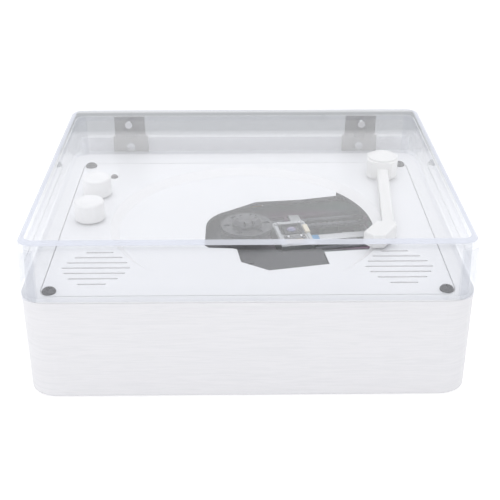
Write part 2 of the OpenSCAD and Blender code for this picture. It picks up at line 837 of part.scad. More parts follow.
module hinge_lower_leaves() {
    low = deck_z - pin_z + cover_gap;
    back = rail_front - pin_y;
    inner = knuckle_l / 2 + 0.15;
    color([0.8, 0.8, 0.79]) for (s = [-1, 1]) difference() {
        at_hinge(s, false) {
            span([-leaf_w / 2, back - leaf_t, low], [leaf_w / 2, back, -knuckle_r - 0.3]);
            for (e = [-1, 1]) scale([e, 1, 1]) {
                span([leaf_w / 2 - eps, back - leaf_t - 0.5, low], [lower_leaf_w / 2, back, -0.4]);
                knuckle(inner, leaf_w / 2 + eps, knuckle_r);
                span([inner, -knuckle_r, -knuckle_r - 0.4], [leaf_w / 2, back, 0]);
            }
        }
        at_hinge(s, false) knuckle(-leaf_w / 2 - 0.4, leaf_w / 2 + 0.4, pin_r);
        at_hinge(s, false) translate([0, -8, -rail_screw_drop]) rotate([-90, 0, 0])
            cylinder(r = small_neck_r + 0.1, h = 12);
    }
}

module hinge_pins() {
    color([0.66, 0.66, 0.68]) for (s = [-1, 1]) at_hinge(s, false)
        knuckle(-leaf_w / 2 - 0.4, leaf_w / 2 + 0.4, pin_r);
}

// Each passes the cover's back wall from outside and has its round nut inside
module cover_screws() {
    nut_h = 1.6;
    color([0.85, 0.85, 0.86]) for (s = [-1, 1]) at_hinge(s, true)
        translate([0, leaf_y + leaf_t, upper_screw_rise]) {
            rotate([-90, 0, 0])
                pan_screw(small_head_r, small_head_h, small_neck_r, leaf_t + cover_t + nut_h);
            translate([0, -leaf_t - cover_t - 0.3 - nut_h, 0]) rotate([-90, 0, 0])
                cylinder(r = small_head_r - 0.5, h = nut_h);
        }
}

module rail_screws() {
    color([0.85, 0.85, 0.86]) for (s = [-1, 1]) at_hinge(s, false)
        translate([0, rail_front - leaf_t - pin_y, -rail_screw_drop])
            rotate([90, 0, 0]) pan_screw(small_head_r - 0.2, 0.9, small_neck_r, rail_t + leaf_t - 0.4);
}

// The disc drive's plate, with its window for the pickup and four lugs
module drive_plate() {
    color([0.13, 0.13, 0.14]) in_drive() difference() {
        union() {
            difference() {
                drive_sheet();
                span([window_start, window_front, plate_under - 6], [window_end, window_back, plate_z + 1]);
            }
            for (x = [window_start - lug_t, window_end]) for (y = [front_rod_y, back_rod_y])
                span([x, y - 3, rod_z - 3], [x + lug_t, y + 3, plate_z]);
            span([window_end, feed_y - 3, rod_z - 3], [window_end + lug_t, feed_y + 3, plate_z]);
            span([window_start + feed_motor_l, feed_y - 3, rod_z - 3],
                 [window_start + feed_motor_l + lug_t, window_back + eps, plate_z]);
        }
        cylinder_at(5, plate_under - 1, plate_z + 1);
        for (y = [front_rod_y, back_rod_y]) translate([window_start - lug_t - eps, y, rod_z])
            rotate([0, 90, 0]) cylinder(r = rod_r, h = window_end - window_start + 2 * lug_t + 2 * eps);
        translate([window_start + feed_motor_l - 1, feed_y, rod_z]) rotate([0, 90, 0])
            cylinder(r = feed_r + running, h = window_end - window_start);
        for (p = lug_xy) translate([p[0], p[1], plate_under - 1])
            cylinder(r = damper_waist_r, h = plate_t + 2);
    }
}

// The plate before its window is cut: the sheet, its front tongue, four lugs and stiffening edges
module drive_sheet() {
    span([plate_left, plate_front, plate_under], [plate_right, plate_back, plate_z]);
    span([tongue_left, tongue_front, plate_under], [tongue_right, plate_front + eps, plate_z]);
    for (p = lug_xy) {
        translate([p[0], p[1], plate_under]) cylinder(r = lug_r, h = plate_t);
        inner = p[0] < 0 ? plate_left : plate_right;
        span([min(p[0], inner), p[1] - lug_r, plate_under], [max(p[0], inner), p[1] + lug_r, plate_z]);
    }
    span([plate_left, plate_back - 2, plate_under - 4], [plate_right, plate_back, plate_under + eps]);
    span([plate_left, plate_front, plate_under - 4], [plate_left + 2, plate_back, plate_under + eps]);
}

// A raised flat cover over the drive's front end
module drive_front_cover() {
    rise = 2;
    color([0.24, 0.24, 0.26]) in_drive() difference() {
        span([tongue_left, tongue_front, plate_z], [tongue_right, window_front - 1.4, plate_z + rise]);
        span([tongue_left + 1.2, tongue_front + 1.2, plate_z - 1],
             [tongue_right - 1.2, window_front - 2.6, plate_z + rise - 0.9]);
        span([tongue_left + 5, window_front - 12, plate_z],
             [tongue_left + 10, window_front - 10.4, plate_z + 5]);
    }
}

module drive_dampers() {
    color([0.09, 0.09, 0.1]) in_drive() for (p = lug_xy) translate([p[0], p[1], 0]) difference() {
        union() {
            cylinder_at(damper_r, plate_under - damper_lip, plate_under);
            cylinder_at(damper_waist_r, plate_under - 1, plate_z + 1);
            cylinder_at(damper_r, plate_z, plate_z + damper_lip);
        }
        cylinder_at(neck_r, plate_under - 5, plate_z + 5);
    }
}

module drive_screws() {
    color([0.7, 0.7, 0.72]) in_drive() for (p = lug_xy) translate([p[0], p[1], plate_z + damper_lip])
        pan_screw(3.4, 1.4, pilot_r, plate_t + 2 * damper_lip + 6);
}

module spindle_motor() {
    low = plate_under - motor_h;
    color([0.78, 0.78, 0.8]) in_drive() difference() {
        union() {
            cylinder_at(motor_r, low + 1, plate_under);
            cylinder_at(motor_r - 1, low, low + 1 + eps);
            cylinder_at(3.6, plate_under - eps, plate_z + 0.4);
        }
        cylinder_at(spindle_r + running, low + 1, plate_z + 2);
    }
}

module spindle_shaft() {
    color([0.8, 0.8, 0.82]) in_drive()
        cylinder_at(spindle_r, plate_under - motor_h + 1.2, seat_z + hub_nose_h);
}

// The disc's seat, its centring nose and three sprung fingers moulded in one
module disc_hub() {
    color([0.2, 0.2, 0.22]) in_drive() difference() {
        union() {
            cylinder_at(4.4, plate_z + 0.9, seat_z - 1);
            cylinder_at(hub_seat_r, seat_z - 2, seat_z);
            cylinder_at(hub_nose_r, seat_z - eps, seat_z + hub_nose_h);
            translate([0, 0, seat_z + hub_nose_h - eps])
                cylinder(r1 = hub_nose_r, r2 = hub_nose_r - 2, h = 1.6);
        }
        cylinder_at(spindle_r, plate_z, seat_z + hub_nose_h);
        for (a = [30:120:270]) rotate([0, 0, a]) for (y = [-2.4, 1.6])
            span([3.4, y, seat_z + hub_nose_h], [hub_nose_r + 1, y + 0.8, seat_z + 5]);
        for (a = [0:60:300]) rotate([0, 0, a]) translate([(hub_seat_r + hub_nose_r) / 2, 0, seat_z - 0.7])
            cylinder(r = 1.6, h = 1);
    }
}

// The pickup: a body with an arm to the feed screw and the back rod
module pickup_body() {
    color([0.76, 0.77, 0.79]) in_drive() difference() {
        union() {
            span([lens_start - pickup_w / 2, pickup_front, pickup_under],
                 [lens_start + pickup_w / 2, pickup_back, pickup_top]);
            span([lens_start + 3, pickup_back - eps, rod_z - 2.6],
                 [lens_start + pickup_w / 2, window_back - 0.6, rod_z + 2.6]);
        }
        span([lens_start - lens_pocket / 2, -lens_pocket / 2, pickup_floor],
             [lens_start + lens_pocket / 2, lens_pocket / 2, pickup_top + 1]);
        span([lens_start - 5, pickup_front + 1.2, pickup_top - 1.4],
             [lens_start + 5, pickup_front + 5.6, pickup_top + 1]);
        for (y = [front_rod_y, back_rod_y]) translate([0, y, rod_z]) rotate([0, 90, 0])
            cylinder(r = rod_r + running, h = lens_start + pickup_w);
        translate([0, feed_y, rod_z]) rotate([0, 90, 0])
            cylinder(r = feed_r + 0.1, h = lens_start + pickup_w);
    }
}

// The plate that carries the lens and floats in the pickup's pocket
module lens_holder() {
    half = holder_w / 2;
    color([0.12, 0.12, 0.13]) in_drive() difference() {
        span([lens_start - half, -half, holder_z], [lens_start + half, half, holder_z + holder_h]);
        translate([lens_start, 0, holder_z + holder_h - 1]) cylinder(r = lens_r, h = 5);
    }
}

module lens() {
    color([0.55, 0.62, 0.75, 0.5]) in_drive() translate([lens_start, 0, holder_z + holder_h - 1])
        rotate_extrude() intersection() {
            union() {
                square([lens_r, 1.2]);
                translate([0, -1.4]) circle(r = 3.6);
            }
            square([lens_r, 3]);
        }
}

module pickup_connector() {
    right = lens_start + pickup_w / 2;
    front = connector_y - connector_w / 2;
    back = connector_y + connector_w / 2;
    color([0.9, 0.85, 0.72]) in_drive() difference() {
        span([right - 2.4, front, pickup_top], [right, back, pickup_top + 1.2]);
        span([right - 1, front + 1, pickup_top + 0.4], [right + 1, back - 1, pickup_top + 0.8]);
    }
}

module guide_rods() {
    color([0.82, 0.82, 0.84]) in_drive() for (y = [front_rod_y, back_rod_y])
        translate([window_start - lug_t, y, rod_z]) rotate([0, 90, 0])
            cylinder(r = rod_r, h = window_end - window_start + 2 * lug_t);
}

// The feed screw, with its thread shown as fine rings
module feed_screw() {
    first = window_start + feed_motor_l + lug_t + 1;
    last = window_end - 1;
    color([0.8, 0.8, 0.82]) in_drive() translate([0, feed_y, rod_z]) rotate([0, 90, 0]) difference() {
        translate([0, 0, window_start + feed_motor_l - 2])
            cylinder(r = feed_r, h = window_end + lug_t - window_start - feed_motor_l + 2);
        for (x = [first:3:last]) translate([0, 0, x]) difference() {
            cylinder(r = feed_r + 1, h = 1);
            translate([0, 0, -1]) cylinder(r = feed_r - 0.35, h = 3);
        }
    }
}

module feed_motor() {
    color([0.7, 0.7, 0.72]) in_drive() translate([0, feed_y, rod_z]) rotate([0, 90, 0]) difference() {
        translate([0, 0, window_start + 0.5]) cylinder(r = feed_motor_r, h = feed_motor_l - 0.5);
        translate([0, 0, window_start + feed_motor_l - 2.3]) cylinder(r = feed_r + running, h = 6);
    }
}

// The flat ribbon: under the pickup's path, over the drive's edge and down to the board
module pickup_ribbon() {
    start = lens_start + pickup_w / 2 - 6;
    front = ribbon_y - ribbon_w / 2;
    back = ribbon_y + ribbon_w / 2;
    color([0.93, 0.93, 0.94]) in_drive() {
        span([start, front, ribbon_z], [ribbon_end, back, ribbon_z + ribbon_t]);
        span([ribbon_end - ribbon_t, front, ribbon_low], [ribbon_end, back, ribbon_z + eps]);
        span([ribbon_end - ribbon_w, front, ribbon_low], [ribbon_end, ribbon_reach, ribbon_low + ribbon_t]);
    }
}

// A loudspeaker's pressed basket with a raised rim and two ears; its rear face carries the magnet
module speaker_basket(side) {
    color([0.2, 0.2, 0.21]) speaker_place(side) difference() {
        union() {
            rotate_extrude() polygon([
                [speaker_r - 2.4, ear_boss_h], [speaker_r, ear_boss_h], [speaker_r, -ear_t],
                [speaker_r - 1.4, -ear_t], [magnet_r, -basket_h], [3, -basket_h], [3, 1 - basket_h],
                [magnet_r - 0.6, 1 - basket_h], [speaker_r - 2.4, -ear_t + 0.6]]);
            for (a = [0, 180]) rotate([0, 0, ear_turn + a]) {
                translate([ear_r, 0, -ear_t]) cylinder(r = 2.6, h = ear_t);
                span([speaker_r - 1, -2.6, -ear_t], [ear_r, 2.6, 0]);
            }
        }
        for (a = [0, 180]) rotate([0, 0, ear_turn + a]) translate([ear_r, 0, -ear_t - 1])
            cylinder(r = pilot_r, h = ear_t + 2);
    }
}

// The paper cone with its rolled edge and dust cap
module speaker_cone(side) {
    edge = speaker_r - 2.4;
    color([0.28, 0.25, 0.24]) speaker_place(side) rotate_extrude() polygon([
        [edge, 0.6], [edge - 1.2, 1.2], [edge - 2.6, 0.5], [4.4, -3.6], [3, -2.9], [0, -2.4],
        [0, -3], [3, -3.5], [4.2, -4.2], [edge - 2.8, -0.1], [edge - 1.2, 0.6], [edge, 0]]);
}

module speaker_magnet(side) {
    color([0.5, 0.5, 0.52]) speaker_place(side) {
        translate([0, 0, -speaker_h]) cylinder(r = magnet_r, h = speaker_h - basket_h);
        translate([0, 0, -basket_h - eps]) cylinder(r = 2.6, h = 3);
    }
}

module left_speaker_basket() { speaker_basket(-1); }
module left_speaker_cone() { speaker_cone(-1); }
module left_speaker_magnet() { speaker_magnet(-1); }
module right_speaker_basket() { speaker_basket(1); }
module right_speaker_cone() { speaker_cone(1); }
module right_speaker_magnet() { speaker_magnet(1); }

module speaker_screws() {
    color([0.7, 0.7, 0.72]) for (s = [-1, 1]) speaker_place(s) for (a = [0, 180])
        rotate([0, 0, ear_turn + a]) translate([ear_r, 0, -ear_t]) rotate([180, 0, 0])
            pan_screw(2.2, 1, pilot_r - 0.3, ear_t + 0.9);
}

module main_board() {
    color([0.1, 0.36, 0.2]) difference() {
        span([board_x - board_w / 2, board_y - board_d / 2, board_z],
             [board_x + board_w / 2, board_y + board_d / 2, board_top]);
        for (p = board_screw_xy) translate([p[0], p[1], board_z - 1]) cylinder(r = neck_r, h = board_t + 2);
    }
}

// Chips, cans and plugs on the main board, with the ribbon's socket
module board_parts() {
    color([0.12, 0.12, 0.13]) {
        for (x = [-0.28, 0.03]) translate([board_x + x * board_w, board_y - 0.3 * board_d, board_top])
            cube([chip_w, chip_w, chip_h]);
        for (x = [-0.39, -0.31, 0.26])
            translate([board_x + x * board_w, board_y + 0.13 * board_d, board_top])
                cylinder(r = can_r, h = can_h);
        translate([board_x - 0.39 * board_w, board_y - 0.4 * board_d, board_top])
            cube([chip_w / 2, chip_w * 0.7, can_h - 1]);
        in_drive() span([ribbon_end - ribbon_w - 1, ribbon_reach, board_top],
                        [ribbon_end + 1, ribbon_reach + 4, ribbon_low + 1.2]);
    }
}

module board_screws() {
    color([0.7, 0.7, 0.72]) for (p = board_screw_xy) translate([p[0], p[1], board_top])
        pan_screw(2.6, 1.4, pilot_r, board_t + 5);
}

// The charging socket: a flat steel shell with round ends, open to the back
module power_socket() {
    color([0.78, 0.78, 0.8]) translate([power_x, inside_back + wall - 1.4, socket_z + power_h / 2])
        rotate([90, 0, 0]) difference() {
            slot(power_w, power_h, power_d);
            translate([0, 0, -1]) slot(power_w - 0.7, power_h - 0.7, power_d - 0.2);
        }
    color([0.78, 0.78, 0.8])
        translate([power_x, inside_back + wall - 1.4 - power_d / 2, socket_z + power_h / 2])
        span([-power_w / 3, -power_d / 2 + 0.6, -0.4], [power_w / 3, power_d / 2 - 1.4, 0.4]);
}

// The audio socket: a box on the board with a round nose through the back wall
module audio_socket() {
    color([0.14, 0.14, 0.15]) translate([audio_x, 0, socket_z]) difference() {
        union() {
            span([-audio_w / 2, inside_back - audio_l, 0], [audio_w / 2, inside_back - 0.4, audio_h]);
            translate([0, inside_back - 1, audio_h / 2]) rotate([-90, 0, 0])
                cylinder(r = audio_h / 2, h = wall);
        }
        translate([0, inside_back - audio_l + 1, audio_h / 2]) rotate([-90, 0, 0])
            cylinder(r = jack_r, h = audio_l + wall);
    }
}

module battery() {
    color([0.25, 0.45, 0.7]) translate([battery_x, battery_y, panel_top]) rotate([0, 0, 90])
        rounded_block(battery_l, battery_w, battery_h, 2);
}

module battery_strap() {
    over = battery_h + strap_t;
    half = battery_w / 2 + 0.2;
    color([0.85, 0.85, 0.86]) translate([battery_x, battery_y, panel_top]) rotate([0, 0, 90]) {
        span([-strap_w / 2, -half - strap_t, battery_h], [strap_w / 2, half + strap_t, over]);
        for (e = [-1, 1]) scale([1, e, 1]) {
            span([-strap_w / 2, half, 0], [strap_w / 2, half + strap_t, over]);
            span([-strap_w / 2, half, 0], [strap_w / 2, half + 5, strap_t]);
        }
    }
}

// A square-cut lead along points that differ in one coordinate at a time
module lead(points, half) {
    for (i = [0:len(points) - 2]) {
        from = points[i];
        to = points[i + 1];
        span([for (j = [0:2]) min(from[j], to[j]) - half], [for (j = [0:2]) max(from[j], to[j]) + half]);
    }
}

// A pair of leads from each loudspeaker, along the side wall to the main board
module speaker_leads() {
    half = 0.6;
    top = deck_under - ear_boss_h - speaker_h - half;
    side_x = in_w / 2 - 6;
    run_z = board_top + 12;
    plug = [board_x - 27, board_y - 14, board_top + 5 + half];
    color([0.6, 0.12, 0.1]) for (s = [-1, 1]) for (k = [-1, 1]) {
        x = s * (grille_x + k * 1.5);
        z = run_z + k;
        y = plug[1] + k * 1.2;
        lead([[x, grille_y, top], [x, grille_y, z], [s * side_x, grille_y, z], [s * side_x, y, z],
              [plug[0] + s * 1.5, y, z], [plug[0] + s * 1.5, y, plug[2]]], half);
    }
}

case_shell();
bottom_panel();
bottom_screws();
rubber_feet();
deck_plate();
deck_screws();
remote_eye();
volume_knob();
volume_shaft();
volume_control();
control_nuts();
press_knob();
press_shaft();
encoder_rotor();
encoder();
arm_base();
arm_turret();
arm_cap();
arm_bar();
arm_head();
arm_pin();
arm_clip();
clear_cover();
hinge_upper_leaves();
hinge_lower_leaves();
hinge_pins();
cover_screws();
rail_screws();
drive_plate();
drive_front_cover();
drive_dampers();
drive_screws();
spindle_motor();
spindle_shaft();
disc_hub();
pickup_body();
lens_holder();
lens();
pickup_connector();
guide_rods();
feed_screw();
feed_motor();
pickup_ribbon();
left_speaker_basket();
left_speaker_cone();
left_speaker_magnet();
right_speaker_basket();
right_speaker_cone();
right_speaker_magnet();
speaker_screws();
main_board();
board_parts();
board_screws();
power_socket();
audio_socket();
battery();
battery_strap();
speaker_leads();
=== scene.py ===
"""Looks for a small disc player in a wood-grain case with a clear hinged cover.

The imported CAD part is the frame. Pieces whose form is finer than the CAD solids are made here as
numpy surfaces, in metres and in the part's own coordinates; the other nodes get their finish only.
"""

import sys

import json
import logging
import math
from dataclasses import dataclass
from enum import Enum

import bpy
import numpy as np
from numpy.typing import NDArray
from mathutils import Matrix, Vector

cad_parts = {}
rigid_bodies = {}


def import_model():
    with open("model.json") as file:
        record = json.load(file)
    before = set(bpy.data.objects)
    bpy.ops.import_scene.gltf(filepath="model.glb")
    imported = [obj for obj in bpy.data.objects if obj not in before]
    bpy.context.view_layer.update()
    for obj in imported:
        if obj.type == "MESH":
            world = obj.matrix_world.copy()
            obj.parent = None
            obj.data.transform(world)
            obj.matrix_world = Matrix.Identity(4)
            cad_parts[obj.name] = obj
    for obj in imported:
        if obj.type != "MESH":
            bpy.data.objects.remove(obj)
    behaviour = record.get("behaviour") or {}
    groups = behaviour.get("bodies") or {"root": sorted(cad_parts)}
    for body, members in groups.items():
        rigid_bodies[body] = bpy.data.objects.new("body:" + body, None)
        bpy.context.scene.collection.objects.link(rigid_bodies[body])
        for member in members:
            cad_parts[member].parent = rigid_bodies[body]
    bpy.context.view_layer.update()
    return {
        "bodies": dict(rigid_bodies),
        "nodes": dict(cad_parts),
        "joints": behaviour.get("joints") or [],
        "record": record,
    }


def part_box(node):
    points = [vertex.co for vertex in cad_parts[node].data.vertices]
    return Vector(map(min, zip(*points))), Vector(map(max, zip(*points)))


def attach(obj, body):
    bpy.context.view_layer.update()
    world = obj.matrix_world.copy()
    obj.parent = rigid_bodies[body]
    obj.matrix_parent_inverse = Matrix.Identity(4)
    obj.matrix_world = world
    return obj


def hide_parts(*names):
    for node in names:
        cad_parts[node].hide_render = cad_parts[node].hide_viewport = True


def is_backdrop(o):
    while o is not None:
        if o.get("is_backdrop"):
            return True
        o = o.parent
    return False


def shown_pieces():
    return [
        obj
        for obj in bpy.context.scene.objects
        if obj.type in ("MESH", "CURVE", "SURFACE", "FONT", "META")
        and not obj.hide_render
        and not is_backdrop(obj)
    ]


LOG = logging.getLogger("disc_player")
Points = NDArray[np.float64]
Faces = list[list[int]]
Colour = tuple[float, float, float]
Triple = tuple[float, float, float]
Pair = tuple[float, float]
MM = 0.001
SMOOTH_BELOW = 35.0
BLOCK_SMOOTH_BELOW = 34.0
DRIVE_TURN = 9.5


class Body(str, Enum):
    """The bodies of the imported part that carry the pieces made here."""

    CASE = "case"
    COVER = "cover"
    ARM = "arm"
    VOLUME = "volume"
    SELECTOR = "selector"
    PICKUP = "pickup"


class Slot(str, Enum):
    """The record's material slot names that the pieces made here are listed with."""

    ARM = "arm_cream"
    KNOB = "knob_white"
    CLEAR = "clear_plastic"
    PANEL = "panel_grey"
    BLACK = "black_plastic"
    BRIGHT = "bright_steel"
    PICKUP = "pickup_metal"
    RIBBON = "ribbon_white"


class Zone(int, Enum):
    """The zones of the clear cover, numbered as the finishes in Finishes.CLEAR are."""

    WALL = 0
    TOP = 1
    BEND = 2
    CORNER = 3
    EDGE = 4


# Shader nodes and finishes


class NodeSheet:
    """A material's node tree, with short calls for the nodes that the finishes share."""

    def __init__(self, name: str) -> None:
        """Makes an empty node material.

        Args:
            name: The material's name.
        """
        self.material = bpy.data.materials.new(name)
        self.material.use_nodes = True
        self.tree = self.material.node_tree
        self.tree.nodes.clear()
        self.output = self.tree.nodes.new("ShaderNodeOutputMaterial")

    def node(self, kind: str, **sockets: object) -> bpy.types.Node:
        """Adds a node and sets or links its inputs.

        Args:
            kind: Blender's node type without the leading "ShaderNode".
            sockets: Input names, with underscores for spaces, and a value or an output socket.

        Returns:
            The new node.
        """
        made = self.tree.nodes.new("ShaderNode" + kind)
        for name, value in sockets.items():
            self.set(made.inputs[name.replace("_", " ")], value)
        return made

    def set(self, socket: bpy.types.NodeSocket, value: object) -> None:
        """Links an output to the socket, or sets its plain value.

        Args:
            socket: The input socket.
            value: An output socket, a number or a colour.
        """
        if isinstance(value, bpy.types.NodeSocket):
            self.tree.links.new(value, socket)
        elif isinstance(value, tuple) and len(value) == 3 and socket.type == "RGBA":
            socket.default_value = (*value, 1.0)
        else:
            socket.default_value = value

    def math(self, operation: str, a: object, b: object = 0.0) -> bpy.types.NodeSocket:
        """One Math node.

        Args:
            operation: Blender's name of the operation.
            a: The first value or socket.
            b: The second value or socket.

        Returns:
            The node's output.
        """
        made = self.tree.nodes.new("ShaderNodeMath")
        made.operation = operation
        self.set(made.inputs[0], a)
        self.set(made.inputs[1], b)
        return made.outputs[0]

    def mix(self, share: object, a: object, b: object) -> bpy.types.NodeSocket:
        """A mix of two colours.

        Args:
            share: How much of b, from 0 to 1.
            a: The first colour.
            b: The second colour.

        Returns:
            The mixed colour.
        """
        made = self.tree.nodes.new("ShaderNodeMix")
        made.data_type = "RGBA"
        self.set(made.inputs[0], share)
        self.set(made.inputs[6], a)
        self.set(made.inputs[7], b)
        return made.outputs[2]

    def place(self, scale: Triple = (1.0, 1.0, 1.0), turn: float = 0.0) -> bpy.types.NodeSocket:
        """Object coordinates, stretched along the axes.

        Args:
            scale: The stretch along X, Y and Z.
            turn: A turn about Z, in degrees.

        Returns:
            The coordinates.
        """
        source = self.node("TexCoord")
        mapping = self.node("Mapping", Vector=source.outputs["Object"], Scale=scale)
        mapping.inputs["Rotation"].default_value = (0.0, 0.0, math.radians(turn))
        return mapping.outputs[0]

    def noise(self, where: bpy.types.NodeSocket, scale: float, detail: float = 3.0,
              distortion: float = 0.0) -> bpy.types.NodeSocket:
        """A noise pattern.

        Args:
            where: The coordinates.
            scale: Its scale per metre.
            detail: Its octaves.
            distortion: How far it is bent.

        Returns:
            The pattern's value.
        """
        made = self.node("TexNoise", Vector=where, Scale=scale, Detail=detail, Distortion=distortion)
        return made.outputs[0]

    def spread(self, value: bpy.types.NodeSocket, low: float, high: float,
               source: Pair = (0.3, 0.7)) -> bpy.types.NodeSocket:
        """Maps a pattern's usual range onto another range.

        Args:
            value: The pattern.
            low: What the lower end becomes.
            high: What the upper end becomes.
            source: The pattern's usual range.

        Returns:
            The mapped value.
        """
        made = self.node("MapRange", Value=value, From_Min=source[0], From_Max=source[1],
                         To_Min=low, To_Max=high)
        return made.outputs[0]

    def coordinate(self, axis: int) -> bpy.types.NodeSocket:
        """One of the object coordinates.

        Args:
            axis: 0, 1 or 2 for X, Y or Z.

        Returns:
            The coordinate, in metres.
        """
        return self.node("SeparateXYZ", Vector=self.place()).outputs[axis]

    def edge(self, radius: float) -> bpy.types.NodeSocket:
        """A normal that rounds the piece's sharp edges.

        Args:
            radius: The rounding in metres.

        Returns:
            The normal.
        """
        made = self.node("Bevel", Radius=radius)
        made.samples = 4
        return made.outputs[0]

    def bump(self, height: bpy.types.NodeSocket, strength: float, distance: float,
             normal: bpy.types.NodeSocket | None = None) -> bpy.types.NodeSocket:
        """A bump from a height pattern.

        Args:
            height: The pattern.
            strength: Its share, from 0 to 1.
            distance: The height of a full step in metres.
            normal: The normal that it starts from.

        Returns:
            The bumped normal.
        """
        made = self.node("Bump", Height=height, Strength=strength, Distance=distance)
        if normal is not None:
            self.set(made.inputs["Normal"], normal)
        return made.outputs[0]

    def done(self, shader: bpy.types.NodeSocket) -> bpy.types.Material:
        """Ends the material.

        Args:
            shader: The surface's shader.

        Returns:
            The material.
        """
        self.tree.links.new(shader, self.output.inputs["Surface"])
        return self.material


@dataclass(frozen=True)
class Moulded:
    """A moulded plastic, rubber or paper: a soft mottle in its colour and a fine grain in its gloss."""

    name: str
    colour: Colour
    roughness: float
    mottle: float = 0.03
    grain: float = 2600.0
    relief: float = 0.12
    rounding: float = 0.3 * MM
    coat: float = 0.0
    sheen: float = 0.0
    cloud: float = 45.0
    depth: float = 0.03 * MM
    gloss_change: float = 0.15

    def build(self) -> bpy.types.Material:
        """Returns the material: noise shades the colour and the roughness, and a fine bump grains it."""
        sheet = NodeSheet(self.name)
        where = sheet.place()
        cloud = sheet.noise(where, self.cloud, 2.0)
        fine = sheet.noise(where, self.grain, 2.0)
        smoother = self.roughness * (1.0 - self.gloss_change)
        rougher = min(1.0, self.roughness * (1.0 + self.gloss_change))
        dark = tuple(c * (1.0 - self.mottle) for c in self.colour)
        light = tuple(min(1.0, c * (1.0 + self.mottle)) for c in self.colour)
        shader = sheet.node(
            "BsdfPrincipled",
            Base_Color=sheet.mix(sheet.spread(cloud, 0.0, 1.0), dark, light),
            Roughness=sheet.spread(fine, smoother, rougher),
            Normal=sheet.bump(fine, self.relief, self.depth, sheet.edge(self.rounding)),
        )
        shader.inputs["Coat Weight"].default_value = self.coat
        shader.inputs["Sheen Weight"].default_value = self.sheen
        return sheet.done(shader.outputs[0])


@dataclass(frozen=True)
class Metal:
    """A metal with fine brush lines along one axis and a little tarnish."""

    name: str
    colour: Colour
    roughness: float
    brush: Triple = (60.0, 1800.0, 1800.0)
    relief: float = 0.15
    rounding: float = 0.2 * MM
    tarnish: float = 0.82
    cloud: float = 90.0
    depth: float = 0.02 * MM
    gloss_range: Pair = (0.7, 1.35)

    def build(self) -> bpy.types.Material:
        """Returns the material: stretched noise makes the brush lines, and a cloud the tarnish."""
        sheet = NodeSheet(self.name)
        lines = sheet.noise(sheet.place(self.brush), 1.0, 4.0)
        cloud = sheet.noise(sheet.place(), self.cloud, 3.0)
        dull = tuple(c * self.tarnish for c in self.colour)
        smoother, rougher = (self.roughness * share for share in self.gloss_range)
        shader = sheet.node(
            "BsdfPrincipled",
            Base_Color=sheet.mix(sheet.spread(cloud, 0.0, 1.0), dull, self.colour),
            Roughness=sheet.spread(lines, smoother, rougher),
            Normal=sheet.bump(lines, self.relief, self.depth, sheet.edge(self.rounding)),
        )
        shader.inputs["Metallic"].default_value = 1.0
        return sheet.done(shader.outputs[0])


@dataclass(frozen=True)
class WoodFilm:
    """White film embossed with long wavy wood grain that runs level along every face; its level faces carry
    painted light, and painted shade on the rail's top.
    """

    name: str = "white_wood_film"
    colour: Colour = (0.745, 0.74, 0.76)
    valley: Colour = (0.712, 0.71, 0.73)
    # Painted light: level faces below the rail's top are lighter, against the shade under the cover.
    level_painted_light: Colour = (0.84, 0.84, 0.85)
    # Painted shade: level faces on the rail's top are darkened.
    rail_top_painted_shade: Colour = (0.50, 0.50, 0.515)
    rail_above: float = 56.0 * MM
    roughness: float = 0.42
    along: float = 48.0
    across: float = 820.0
    pore_scale: float = 3.1
    pore_share: float = 0.35
    level_from: float = 0.6
    relief: float = 0.4
    depth: float = 0.06 * MM
    rounding: float = 0.7 * MM

    def build(self) -> bpy.types.Material:
        """Returns the material: stretched, bent noise gives the grain, and level faces are plain: painted
        light below the rail's top and painted shade on it.
        """
        sheet = NodeSheet(self.name)
        side = sheet.place((self.along, self.along, self.across))
        flat = sheet.place((self.along, self.across, self.along))
        normal = sheet.node("NewGeometry").outputs["Normal"]
        upward = sheet.node("SeparateXYZ", Vector=normal).outputs[2]
        level = sheet.math("GREATER_THAN", sheet.math("ABSOLUTE", upward), self.level_from)
        picked = sheet.tree.nodes.new("ShaderNodeMix")
        picked.data_type = "VECTOR"
        sheet.set(picked.inputs[0], level)
        sheet.set(picked.inputs[4], side)
        sheet.set(picked.inputs[5], flat)
        where = picked.outputs[1]
        grain = sheet.noise(where, 1.0, 5.0, 1.3)
        pores = sheet.noise(where, self.pore_scale, 3.0, 0.6)
        fine = sheet.math("MULTIPLY", pores, self.pore_share)
        height = sheet.math("ADD", sheet.spread(grain, 0.0, 0.75), fine)
        grained = sheet.mix(sheet.spread(grain, 0.0, 1.0, (0.35, 0.6)), self.valley, self.colour)
        # Level faces over this height take the painted shade, lower ones the painted light.
        rail_top_shade_mask = sheet.math("GREATER_THAN", sheet.coordinate(2), self.rail_above)
        shader = sheet.node(
            "BsdfPrincipled",
            Base_Color=sheet.mix(level, grained, sheet.mix(rail_top_shade_mask, self.level_painted_light, self.rail_top_painted_shade)),
            Roughness=sheet.spread(pores, self.roughness * 0.9, self.roughness * 1.15),
            Normal=sheet.bump(height, self.relief, self.depth, sheet.edge(self.rounding)),
        )
        return sheet.done(shader.outputs[0])


